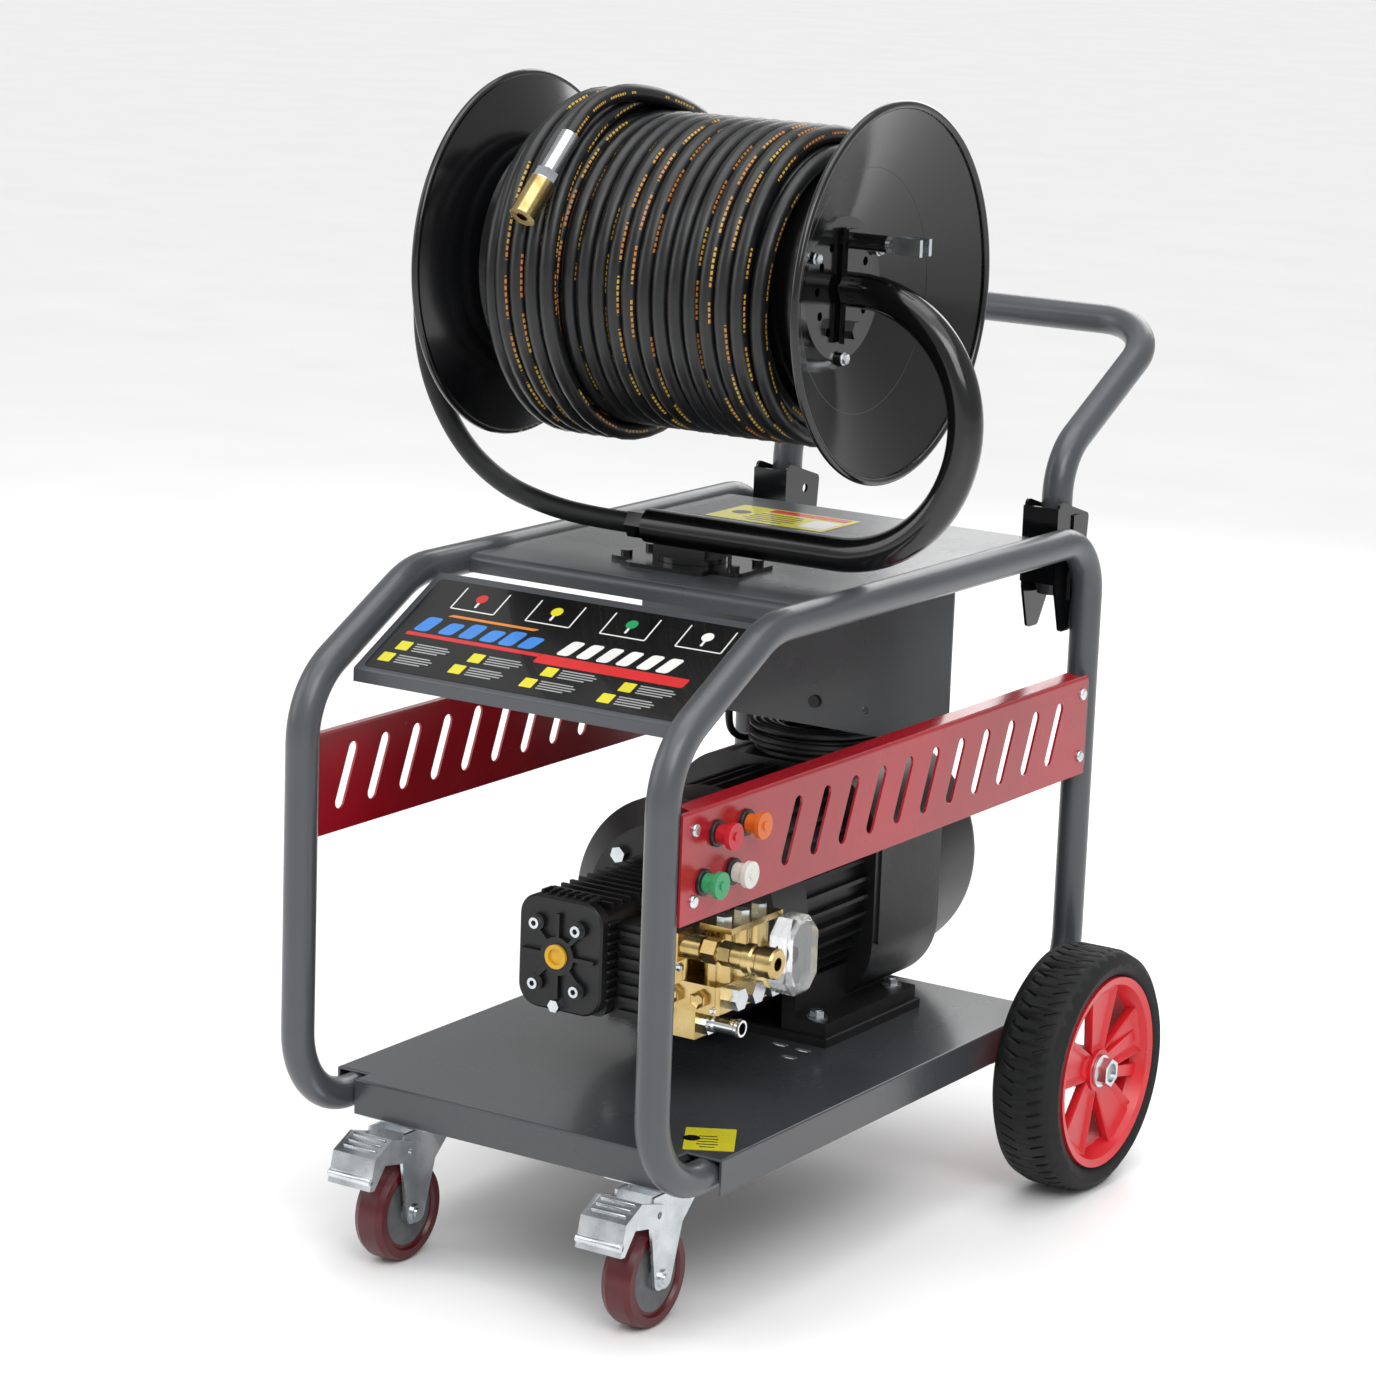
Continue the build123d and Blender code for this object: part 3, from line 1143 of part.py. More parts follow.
cone = (rim_x - hub_x) / (rim_r - hub_disc_r)      # axial run of the flange per mm of radius
with BuildPart() as reel_drum:
    with BuildSketch(Plane.XY):
        with BuildLine():
            Polyline((hub_x - sheet, stub_r + fit), (hub_x, stub_r + fit), (hub_x, hub_disc_r),
                     (rim_x, rim_r), (rim_x - 3, rim_r), (hub_x - sheet, hub_disc_r + 1), close=True)
        make_face()
        with Locations((rim_x, rim_r)):
            Circle(4)
        # bearing boss behind the disc
        with Locations((hub_x - sheet, stub_r + fit)):
            Rectangle(28, 9, align=(Align.MAX, Align.MIN))
        # core
        with Locations((0, core_r)):
            Rectangle(hub_x + cone * (core_r - hub_disc_r) - 1, sheet, align=(Align.MIN, Align.MAX))
    revolve(axis=Axis.X)
    with Locations(Location((0, 0, 0), (0, 90, 0))):
        with PolarLocations(index_r, 12):
            Cylinder(pin_r + 0.3, 2 * rim_x, mode=Mode.SUBTRACT)
        with PolarLocations(66, 3, start_angle=0):
            with Locations((0, 0, hub_x - 1)):
                Cylinder(5.5, 5, align=(Align.CENTER, Align.CENTER, Align.MIN))
    mirror(about=Plane.YZ)
reel_drum.part.locate(Location((0, reel_y, reel_z)))
reel_drum.part.label = "reel_drum"
export_step(reel_drum.part, "parts/reel_drum.step")

# Wound hose: finished layers and the part layer on the left.
top_x1, top_x2 = -150.0, -65.0
with BuildPart() as hose_coil:
    with BuildSketch(Plane.XY):
        with BuildLine():
            Polyline((-wind_half, core_r + gap), (wind_half, core_r + gap), (wind_half, wind_r),
                     (top_x2, wind_r), (top_x2, wind_top_r), (top_x1, wind_top_r), (top_x1, wind_r),
                     (-wind_half, wind_r), close=True)
        make_face()
    revolve(axis=Axis.X)
hose_coil.part.locate(Location((0, reel_y, reel_z)))
hose_coil.part.label = "hose_coil"
export_step(hose_coil.part, "parts/hose_coil.step")

# Free end: a short tail rising off the top of the winding, and its coupler.
tail_route = [(-74, 226.5, 1086.8), (-72.5, 242, 1103.8), (-69, 266, 1118), (-64, 298, 1125.5),
              (-59.5, 336, 1122), (-56, 371, 1114.1)]
hose_tail = tube(tail_route, hose_r)
hose_tail.label = "hose_tail"
export_step(hose_tail, "parts/hose_tail.step")
print("hose tail radii", corner_radii(tail_route))

tail_start = Vector(*tail_route[0])
tail_dir = (tail_start - Vector(*tail_route[1])).normalized()
hose_end_bore_r = 5.5
with BuildPart() as hose_end:
    with BuildSketch(Plane(origin=tail_start, x_dir=(1, 0, 0), z_dir=tail_dir)):
        Circle(10)
    extrude(amount=45)
    with BuildSketch(Plane(origin=tail_start + tail_dir * 45, x_dir=(1, 0, 0), z_dir=tail_dir)):
        RegularPolygon(12, 6)
    extrude(amount=11)
    with BuildSketch(Plane(origin=tail_start + tail_dir * 56, x_dir=(1, 0, 0), z_dir=tail_dir)):
        Circle(13)
    extrude(amount=42)
    with BuildSketch(Plane(origin=tail_start + tail_dir * 66, x_dir=(1, 0, 0), z_dir=tail_dir)):
        Circle(hose_end_bore_r)
    extrude(amount=40, mode=Mode.SUBTRACT)
hose_end.part.label = "hose_end"
export_step(hose_end.part, "parts/hose_end.step")
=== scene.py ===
from math import cos, pi, radians, sin

import bmesh
import bpy
from mathutils import Euler, Matrix, Vector


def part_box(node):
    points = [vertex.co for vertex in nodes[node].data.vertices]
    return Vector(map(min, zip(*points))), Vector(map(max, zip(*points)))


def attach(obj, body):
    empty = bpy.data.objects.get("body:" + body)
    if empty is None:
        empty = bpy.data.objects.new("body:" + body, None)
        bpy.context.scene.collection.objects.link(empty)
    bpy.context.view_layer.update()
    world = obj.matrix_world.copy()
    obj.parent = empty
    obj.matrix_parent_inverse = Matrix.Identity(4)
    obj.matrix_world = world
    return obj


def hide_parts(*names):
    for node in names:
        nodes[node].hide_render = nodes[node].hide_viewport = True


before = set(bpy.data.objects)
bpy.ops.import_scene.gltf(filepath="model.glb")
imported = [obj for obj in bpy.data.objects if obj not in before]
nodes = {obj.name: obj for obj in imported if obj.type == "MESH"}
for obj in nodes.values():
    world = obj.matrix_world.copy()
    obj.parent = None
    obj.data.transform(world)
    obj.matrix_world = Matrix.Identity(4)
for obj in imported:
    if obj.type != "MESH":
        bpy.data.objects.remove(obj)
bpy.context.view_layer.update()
print("frame loaded:", len(nodes), "nodes")

mm = 0.001


cameraSettings = {
    "place": (2.13404, -2.98211, 1.42549),
    "azimuth": 32.63,
    "elevation": 12.54,
    "roll": 2.09,
    "lens": 108.02,
}


def makeCamera(s):
    data = bpy.data.cameras.new("camera")
    data.lens = s["lens"]
    data.sensor_width = 36
    data.sensor_fit = "HORIZONTAL"
    data.clip_end = 50
    camera = bpy.data.objects.new("camera", data)
    bpy.context.scene.collection.objects.link(camera)
    turn = Euler((0, 0, radians(s["azimuth"]))).to_matrix()
    tilt = Euler((radians(90 - s["elevation"]), 0, 0)).to_matrix()
    roll = Euler((0, 0, radians(s["roll"]))).to_matrix()
    camera.rotation_euler = (turn @ tilt @ roll).to_euler()
    camera.location = s["place"]
    bpy.context.scene.camera = camera


makeCamera(cameraSettings)
print("camera placed")


def makeLine(name, points, radius, steps, sides):    # points in millimetres
    data = bpy.data.curves.new(name, "CURVE")
    data.dimensions = "3D"
    line = data.splines.new("NURBS")
    line.points.add(len(points) - 1)
    for spot, p in zip(line.points, points):
        spot.co = (p[0] * mm, p[1] * mm, p[2] * mm, 1)
    line.order_u = 3
    line.use_endpoint_u = True
    data.resolution_u = steps
    data.bevel_depth = radius * mm
    data.bevel_resolution = sides
    data.use_fill_caps = True
    made = bpy.data.objects.new(name, data)
    bpy.context.scene.collection.objects.link(made)
    return made


# The wound hose: two full layers, a part layer on the left, then the free tail.
hoseSettings = {
    "axisY": 350, "axisZ": 955, "radius": 8.5,
    "layers": [(126.4, -154, 154, 18), (143.5, 154, -154, 18), (160.6, -141.5, -57, 5)],
    "pointsPerTurn": 16,
    "start": [(-157, 458.4, 983), (-156, 446.6, 1027.8), (-155, 414.7, 1064.9)],
    "tail": [(-59.5, 336, 1122), (-64, 298, 1125.5), (-69, 266, 1118), (-72.5, 242, 1103.8),
             (-74, 226.5, 1086.8)],
    "printSwing": 24, "length": 35.8,
}


def windHose(s):
    step = 2 * pi / s["pointsPerTurn"]
    outward = 4 / (3 + cos(step))            # the line runs inside its control points
    points = []
    turned = 0.0
    previous = s["layers"][0][0]
    for radius, x1, x2, turns in s["layers"]:
        count = turns * s["pointsPerTurn"]
        ramp = s["pointsPerTurn"] // 2
        for i in range(count):
            rise = min(1, i / ramp)
            r = (previous + (radius - previous) * rise) * outward
            x = x1 + (x2 - x1) * i / count
            angle = radians(8) - turned * step
            points.append((x, s["axisY"] + r * sin(angle), s["axisZ"] + r * cos(angle)))
            turned += 1
        previous = radius
    return points


hosePoints = hoseSettings["start"] + windHose(hoseSettings) + [(-56, 371, 1114.6)] + hoseSettings["tail"]
hose = makeLine("reelHose", hosePoints, hoseSettings["radius"], 3, 4)


def turnPrint(piece, s):                     # keeps the printed line on the outward side of each turn
    for i, spot in enumerate(piece.data.splines[0].points):
        turn = (i - len(s["start"])) / s["pointsPerTurn"]
        if turn < 36:
            missing = 50 + 6.85 * (turn - 18)
        else:
            missing = 173 - 6.1 * (turn - 36)
        spot.tilt = -radians(missing + s["printSwing"] * sin(turn * 1.13))


turnPrint(hose, hoseSettings)

# The feed hose, from the elbow on the left hub down to the arm's swivel nut.
feedSettings = {
    "radius": 10.5,
    "points": [(-189, 350, 987.4), (-203, 350, 1015.6), (-227.8, 350, 1035), (-258.4, 350, 1041.7),
               (-288.9, 350, 1034.5), (-313.4, 350, 1014.9), (-326.9, 350, 986.6), (-331.5, 350, 945),
               (-332.5, 350, 893), (-328, 350, 845), (-310, 350, 798), (-275, 350, 751),
               (-226, 350, 720), (-170, 350, 706.5), (-120, 350, 702), (-72, 350, 702)],
    "length": 0.65,
}
feedHose = makeLine("feedHose", feedSettings["points"], feedSettings["radius"], 8, 6)

# The power cable: out of the gland, round a coil of four rows on the motor, then to its plug.
cableSettings = {
    "radius": 4, "centreX": -2, "centreY": 612, "outer": 71.5, "inner": 47.3,
    "rows": [441.3, 449.5, 457.7, 465.9], "turnsPerRow": 3, "pointsPerTurn": 14,
    "lead": [(-86, 566, 474), (-86, 566, 461), (-85, 573, 449), (-81, 585, 442.6), (-76.5, 598, 441.6)],
    "out": [(-73.5, 612, 465.9), (-73, 632, 465.6), (-69, 652, 463.9), (-58, 669, 459.9),
            (-42, 684, 455.1), (-27, 699, 454.9)],
    "length": 5.7,
}


def windCable(s):
    perTurn = s["pointsPerTurn"]
    outward = 4 / (3 + cos(2 * pi / perTurn))
    stations = []
    for row, z in enumerate(s["rows"]):
        ends = (s["outer"], s["inner"]) if row % 2 == 0 else (s["inner"], s["outer"])
        count = s["turnsPerRow"] * perTurn
        for i in range(count):
            stations.append((ends[0] + (ends[1] - ends[0]) * i / count, z))
        if row + 1 < len(s["rows"]):         # one turn that climbs to the next row
            for i in range(perTurn):
                stations.append((ends[1], z + (s["rows"][row + 1] - z) * i / perTurn))
    points = []
    for i, (r, z) in enumerate(stations[1:], 1):
        angle = pi - 2 * pi * i / perTurn
        points.append((s["centreX"] + r * outward * cos(angle), s["centreY"] + r * outward * sin(angle), z))
    return points


cablePoints = cableSettings["lead"] + windCable(cableSettings) + cableSettings["out"]
powerCable = makeLine("powerCable", cablePoints, cableSettings["radius"], 4, 3)
print("cords drawn")


def linear(hexColour):
    parts = [int(hexColour[i:i + 2], 16) / 255 for i in (1, 3, 5)]
    return tuple(c / 12.92 if c <= 0.04045 else ((c + 0.055) / 1.055) ** 2.4 for c in parts) + (1.0,)


def addNode(tree, kind, inputs=None, **settings):
    made = tree.nodes.new(kind)
    for key, value in settings.items():
        setattr(made, key, value)
    for key, value in (inputs or {}).items():
        if isinstance(value, bpy.types.NodeSocket):
            tree.links.new(value, made.inputs[key])
        else:
            made.inputs[key].default_value = value
    return made


def newMaterial(name, **sockets):
    material = bpy.data.materials.new(name)
    material.use_nodes = True
    tree = material.node_tree
    shader = tree.nodes["Principled BSDF"]
    for key, value in sockets.items():
        shader.inputs[key].default_value = value
    place = addNode(tree, "ShaderNodeTexCoord").outputs["Object"]
    return material, tree, shader, place


def noise(tree, place, scale, detail=3, rough=0.5):
    return addNode(tree, "ShaderNodeTexNoise", {"Vector": place, "Scale": scale, "Detail": detail,
                                                "Roughness": rough}).outputs["Fac"]


def rangeOf(tree, value, low, high, fromLow=0.3, fromHigh=0.7):
    return addNode(tree, "ShaderNodeMapRange", {"Value": value, "From Min": fromLow, "From Max": fromHigh,
                                                "To Min": low, "To Max": high}).outputs["Result"]


def mixColours(tree, factor, first, second):
    made = addNode(tree, "ShaderNodeMix", data_type="RGBA")
    tree.links.new(factor, made.inputs[0])
    for slot, value in ((6, first), (7, second)):
        if isinstance(value, bpy.types.NodeSocket):
            tree.links.new(value, made.inputs[slot])
        else:
            made.inputs[slot].default_value = value
    return made.outputs[2]


def bump(tree, shader, height, strength, distance=0.001):
    made = addNode(tree, "ShaderNodeBump", {"Height": height, "Strength": strength, "Distance": distance})
    tree.links.new(made.outputs["Normal"], shader.inputs["Normal"])


def powderCoat(name, colour, darker, rough):
    material, tree, shader, place = newMaterial(name)
    shader.inputs["Coat Weight"].default_value = 0.25
    shader.inputs["Coat Roughness"].default_value = 0.12
    broad = noise(tree, place, 6, 4)
    tree.links.new(mixColours(tree, rangeOf(tree, broad, 0, 1), linear(darker), linear(colour)),
                   shader.inputs["Base Color"])
    tree.links.new(rangeOf(tree, broad, rough - 0.05, rough + 0.07), shader.inputs["Roughness"])
    bump(tree, shader, noise(tree, place, 900, 2), 0.10, 0.0004)
    return material


def castMetal(name, colour, rough, grain):
    material, tree, shader, place = newMaterial(name)
    broad = noise(tree, place, 14, 5)
    tree.links.new(mixColours(tree, rangeOf(tree, broad, 0, 1), linear(colour), linear("#191a1c")),
                   shader.inputs["Base Color"])
    tree.links.new(rangeOf(tree, broad, rough, rough + 0.12), shader.inputs["Roughness"])
    bump(tree, shader, noise(tree, place, grain, 4, 0.7), 0.28, 0.0007)
    return material


def bareMetal(name, colour, stain, rough, lines):
    material, tree, shader, place = newMaterial(name, Metallic=1.0)
    broad = noise(tree, place, 30, 4)
    tree.links.new(mixColours(tree, rangeOf(tree, broad, 0, 1), linear(stain), linear(colour)),
                   shader.inputs["Base Color"])
    tree.links.new(rangeOf(tree, broad, rough, rough + 0.14), shader.inputs["Roughness"])
    stretched = addNode(tree, "ShaderNodeMapping", {"Vector": place, "Scale": (1, 1, lines)}).outputs["Vector"]
    bump(tree, shader, noise(tree, stretched, 260, 3), 0.08, 0.0003)
    return material


def mouldedPlastic(name, colour, rough, grain=700):
    material, tree, shader, place = newMaterial(name)
    broad = noise(tree, place, 22, 3)
    base = linear(colour)
    shade = tuple(c * 0.82 for c in base[:3]) + (1.0,)
    tree.links.new(mixColours(tree, rangeOf(tree, broad, 0, 1), shade, base), shader.inputs["Base Color"])
    tree.links.new(rangeOf(tree, broad, rough - 0.04, rough + 0.06), shader.inputs["Roughness"])
    bump(tree, shader, noise(tree, place, grain, 2), 0.12, 0.0004)
    return material


def rubber(name, colour, rough):
    material, tree, shader, place = newMaterial(name)
    shader.inputs["Specular IOR Level"].default_value = 0.35
    broad = noise(tree, place, 40, 5)
    tree.links.new(mixColours(tree, rangeOf(tree, broad, 0, 1), linear(colour), linear("#18191a")),
                   shader.inputs["Base Color"])
    tree.links.new(rangeOf(tree, broad, rough, rough + 0.1), shader.inputs["Roughness"])
    bump(tree, shader, noise(tree, place, 1200, 3), 0.18, 0.0004)
    return material


def printedHose(name):
    material, tree, shader, place = newMaterial(name, Roughness=0.33)
    shader.inputs["Specular IOR Level"].default_value = 0.45
    along = addNode(tree, "ShaderNodeSeparateXYZ", {"Vector": addNode(tree, "ShaderNodeTexCoord").outputs["UV"]})
    length = hoseSettings["length"]

    def math(kind, first, second=0.0):
        return addNode(tree, "ShaderNodeMath", {0: first, 1: second}, operation=kind).outputs[0]

    marks = math("LESS_THAN", math("FRACT", math("MULTIPLY", along.outputs["X"], length / 0.0052)), 0.66)
    gaps = math("LESS_THAN", math("FRACT", math("MULTIPLY", along.outputs["X"], length / 0.047)), 0.74)
    runs = math("LESS_THAN", math("FRACT", math("MULTIPLY", along.outputs["X"], length / 0.31)), 0.80)
    band = math("LESS_THAN", math("ABSOLUTE", math("SUBTRACT", along.outputs["Y"], 0.5)), 0.022)
    ink = math("MULTIPLY", math("MULTIPLY", marks, gaps), math("MULTIPLY", runs, band))
    tint = rangeOf(tree, noise(tree, place, 9, 2), 0, 1, 0.42, 0.58)
    yellow = mixColours(tree, tint, linear("#c9a63c"), linear("#b9702a"))
    black = mixColours(tree, rangeOf(tree, noise(tree, place, 35, 4), 0, 1), linear("#0b0c0d"), linear("#191a1c"))
    tree.links.new(mixColours(tree, ink, black, yellow), shader.inputs["Base Color"])
    bump(tree, shader, noise(tree, place, 500, 3), 0.15, 0.0004)
    return material


def clearPlastic(name):
    material, tree, shader, place = newMaterial(name, IOR=1.49)
    shader.inputs["Transmission Weight"].default_value = 0.92
    shader.inputs["Base Color"].default_value = linear("#f2f5f6")
    broad = noise(tree, place, 60, 3)
    tree.links.new(rangeOf(tree, broad, 0.04, 0.16), shader.inputs["Roughness"])
    bump(tree, shader, broad, 0.2, 0.001)
    return material


def casterWheel(name, s):                    # grey moulded hub inside a dark red polyurethane tread
    material, tree, shader, place = newMaterial(name, Roughness=0.34)
    centred = addNode(tree, "ShaderNodeMapping", {"Vector": place, "Location": (0, -s["axleY"], -s["axleZ"]),
                                                  "Scale": (0, 1, 1)}).outputs["Vector"]
    far = addNode(tree, "ShaderNodeVectorMath", {0: centred}, operation="LENGTH").outputs["Value"]
    tread = addNode(tree, "ShaderNodeMath", {0: far, 1: s["hubRadius"]}, operation="GREATER_THAN").outputs[0]
    worn = rangeOf(tree, noise(tree, place, 60, 4), 0, 1)
    hub = mixColours(tree, worn, linear("#4a4b4d"), linear("#5c5e60"))
    red = mixColours(tree, worn, linear("#4a0a12"), linear("#5a0f18"))
    tree.links.new(mixColours(tree, tread, hub, red), shader.inputs["Base Color"])
    bump(tree, shader, noise(tree, place, 700, 2), 0.12, 0.0004)
    return material


def hoseEndMetal(name, s):                   # bright crimped ferrule and hexagon, then the brass coupler
    material, tree, shader, place = newMaterial(name, Metallic=1.0)
    across = addNode(tree, "ShaderNodeVectorMath", {0: place, 1: s["along"]}, operation="DOT_PRODUCT")
    isBrass = addNode(tree, "ShaderNodeMath", {0: across.outputs["Value"], 1: s["turnsBrassAt"]},
                      operation="GREATER_THAN").outputs[0]
    stain = rangeOf(tree, noise(tree, place, 90, 4), 0, 1)
    steel = mixColours(tree, stain, linear("#dfe2e4"), linear("#b7bcbf"))
    brassTone = mixColours(tree, stain, linear("#d6c08a"), linear("#a88a50"))
    tree.links.new(mixColours(tree, isBrass, steel, brassTone), shader.inputs["Base Color"])
    tree.links.new(rangeOf(tree, stain, 0.16, 0.30, 0, 1), shader.inputs["Roughness"])
    bump(tree, shader, stain, 0.08, 0.0003)
    return material


framePaint = powderCoat("dark grey powder coat", "#474a4e", "#404347", 0.36)
deckPaint = powderCoat("grey deck enamel", "#404346", "#393c3f", 0.26)
redPaint = powderCoat("red powder coat", "#a3101f", "#8d0c1a", 0.24)
reelPaint = powderCoat("black gloss enamel", "#0d0e10", "#070708", 0.13)
motorPaint = castMetal("black motor paint", "#0c0d0f", 0.34, 260)
pumpPaint = castMetal("black anodised casting", "#0e0f11", 0.40, 420)
brass = bareMetal("machined brass", "#d6c08a", "#b0935a", 0.18, 1)
zincPlate = bareMetal("bright zinc plate", "#e3e7ea", "#b9c0c4", 0.20, 1)
polishedPlate = bareMetal("polished chrome plate", "#e8eaec", "#cfd3d6", 0.06, 1)
turnedSteel = bareMetal("turned steel", "#b5b8bb", "#8e9295", 0.26, 6)
blackPlastic = mouldedPlastic("black moulded plastic", "#17181a", 0.42)
redPlastic = mouldedPlastic("red wheel plastic", "#d3202a", 0.30)
yellowPlastic = mouldedPlastic("yellow plastic", "#e2b021", 0.28)
tipColours = {"red": "#b81626", "orange": "#d2631c", "green": "#2f9a63", "white": "#d9d9d2"}
tyreRubber = rubber("black tyre rubber", "#0e0f10", 0.62)
hoseRubber = rubber("smooth black rubber", "#101113", 0.42)
cableRubber = rubber("black cable sheath", "#101112", 0.40)
hosePrint = printedHose("printed hose cover")
clearCover = clearPlastic("clear moulded plastic")


def paint(material, *names):
    for name in names:
        for slot in nodes[name].material_slots:
            slot.material = material


paint(framePaint, "left_hoop", "right_hoop", "handle", "sign_panel", "caster_bar", "panel_lugs")
paint(deckPaint, "base_deck", "top_deck", "back_plate")
paint(reelPaint, "reel_drum", "main_arm", "reel_base", "handle_brackets")
paint(redPaint, "left_panel", "right_panel")
paint(motorPaint, "motor_base", "motor_housing", "bell_housing", "fan_cowl")
paint(pumpPaint, "crankcase", "crank_cover")
paint(brass, "manifold", "outlet_coupler", "hub_elbow")
casterSettings = {"axleY": 0.086, "axleZ": 0.050, "hubRadius": 0.034}
tailEnd = [Vector(p) for p in hoseSettings["tail"][-2:]]
tailWay = (tailEnd[1] - tailEnd[0]).normalized()
hoseEndSettings = {"along": tuple(tailWay), "turnsBrassAt": tailWay.dot(tailEnd[1]) * mm + 0.057}
paint(hoseEndMetal("crimped steel and brass coupler", hoseEndSettings), "hose_end")
paint(zincPlate, "panel_bolts", "axle_nuts", "caster_plates", "left_fork", "right_fork", "left_pedal",
      "right_pedal", "motor_bolts", "pump_fasteners", "lock_pin")
paint(polishedPlate, "inlet_nipple")
paint(turnedSteel, "axle", "rotor")
paint(blackPlastic, "control_box", "tip_sockets", "cable_glands", "plug")
paint(yellowPlastic, "oil_fittings")
paint(redPlastic, "left_rim", "right_rim")
paint(tyreRubber, "left_tyre", "right_tyre")
paint(casterWheel("polyurethane on a grey hub", casterSettings), "left_caster_wheel", "right_caster_wheel")
paint(clearCover, "clear_cover")
for colourName, colour in tipColours.items():
    paint(mouldedPlastic(colourName + " nozzle plastic", colour, 0.30), "tip_" + colourName)


def dress(piece, material, body):
    piece.data.materials.clear()
    piece.data.materials.append(material)
    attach(piece, body)


dress(hose, hosePrint, "drum")
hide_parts("hose_coil", "hose_tail")
dress(feedHose, hoseRubber, "reel_arm")
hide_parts("feed_hose")
dress(powerCable, cableRubber, "cart")
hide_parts("cable_in", "cable_out", "cable_coil")
print("materials given")


def addPatch(x, u, width, deep, lean=0, corner=1.5, low=0.0, thick=0.3):
    bpy.ops.object.select_all(action="DESELECT")
    bpy.ops.mesh.primitive_plane_add(size=1)
    piece = bpy.context.object
    bpy.ops.object.mode_set(mode="EDIT")
    bpy.ops.transform.resize(value=(width * mm, deep * mm, 1))
    pickVertices(piece, lambda p: p.y > 0)
    bpy.ops.transform.translate(value=(lean * mm, 0, 0))
    bpy.ops.mesh.select_all(action="SELECT")
    if corner:
        bpy.ops.mesh.bevel(offset=corner * mm, segments=3, affect="VERTICES")
    bpy.ops.transform.translate(value=(x * mm, u * mm, low * mm))
    bpy.ops.mesh.extrude_region_move(TRANSFORM_OT_translate={"value": (0, 0, thick * mm)})
    closeUp()
    return piece


def addDisc(x, u, radius, low=0.0, thick=0.3):
    bpy.ops.object.select_all(action="DESELECT")
    bpy.ops.mesh.primitive_circle_add(vertices=28, radius=radius * mm, fill_type="NGON")
    piece = bpy.context.object
    bpy.ops.object.mode_set(mode="EDIT")
    bpy.ops.transform.translate(value=(x * mm, u * mm, low * mm))
    bpy.ops.mesh.extrude_region_move(TRANSFORM_OT_translate={"value": (0, 0, thick * mm)})
    closeUp()
    return piece


def pickVertices(piece, wanted):             # in edit mode: only the vertices that answer
    shape = bmesh.from_edit_mesh(piece.data)
    for v in shape.verts:
        v.select = wanted(v.co)
    shape.select_flush_mode()
    shape.select_flush(True)
    bmesh.update_edit_mesh(piece.data)


def pickFaces(piece, wanted):                # in edit mode: only the faces that answer
    shape = bmesh.from_edit_mesh(piece.data)
    bpy.ops.mesh.select_mode(type="FACE")
    shape = bmesh.from_edit_mesh(piece.data)
    for f in shape.faces:
        f.select_set(wanted(f))
    bmesh.update_edit_mesh(piece.data)


def closeUp():                               # merged, facing outwards, back in object mode
    bpy.ops.mesh.select_all(action="SELECT")
    bpy.ops.mesh.remove_doubles(threshold=0.000001)
    bpy.ops.mesh.normals_make_consistent(inside=False)
    bpy.ops.object.mode_set(mode="OBJECT")


def joined(name, pieces):
    bpy.ops.object.select_all(action="DESELECT")
    for piece in pieces:
        piece.select_set(True)
    bpy.context.view_layer.objects.active = pieces[0]
    if len(pieces) > 1:
        bpy.ops.object.join()
    pieces[0].name = name
    return pieces[0]


def setDown(piece, place, turn=(0, 0, 0)):   # moves the piece, then leaves its object at the origin
    bpy.ops.object.select_all(action="DESELECT")
    piece.select_set(True)
    bpy.context.view_layer.objects.active = piece
    piece.location = place
    piece.rotation_euler = turn
    bpy.ops.object.transform_apply(location=True, rotation=True, scale=True)


def smooth(piece, angle=35):
    bpy.ops.object.select_all(action="DESELECT")
    piece.select_set(True)
    bpy.context.view_layer.objects.active = piece
    bpy.ops.object.shade_smooth_by_angle(angle=radians(angle))


def printedFilm(name, colour, rough=0.22):   # glossy printed vinyl
    material, tree, shader, place = newMaterial(name)
    shader.inputs["Coat Weight"].default_value = 0.5
    faint = rangeOf(tree, noise(tree, place, 30, 3), 0, 1)
    base = linear(colour)
    shade = tuple(c * 0.86 for c in base[:3]) + (1.0,)
    tree.links.new(mixColours(tree, faint, base, shade), shader.inputs["Base Color"])
    tree.links.new(rangeOf(tree, faint, rough, rough + 0.06, 0, 1), shader.inputs["Roughness"])
    bump(tree, shader, faint, 0.05, 0.0003)
    return material


filmColours = {"Black": "#0d0d0f", "Grey": "#a4a5a6", "Yellow": "#dcd22f", "Red": "#cf2c2c", "Blue": "#3f86d8",
               "White": "#e9e9e6", "Green": "#2c9b62", "Orange": "#dd8733"}
films = {key: printedFilm(key.lower() + " printed vinyl", value) for key, value in filmColours.items()}

# The sticker on the sloping sign: trays with the four nozzle colours, two title rows, a stripe, eight notes.
signSettings = {
    "trays": (("Red", -114), ("Yellow", -27), ("Green", 58), ("White", 142)),
    "trayLow": 104, "trayWide": 50, "trayDeep": 32,
    "title": 76, "titleDeep": 22, "blueBars": (-150, -122, -98, -74, -52, -30),
    "whiteBars": (14, 36, 58, 80, 103, 124), "stripe": 57,
    "notes": ((-152, 41), (-68, 41), (16, 40), (104, 38), (-160, 22), (-78, 22), (4, 21), (92, 19)),
}


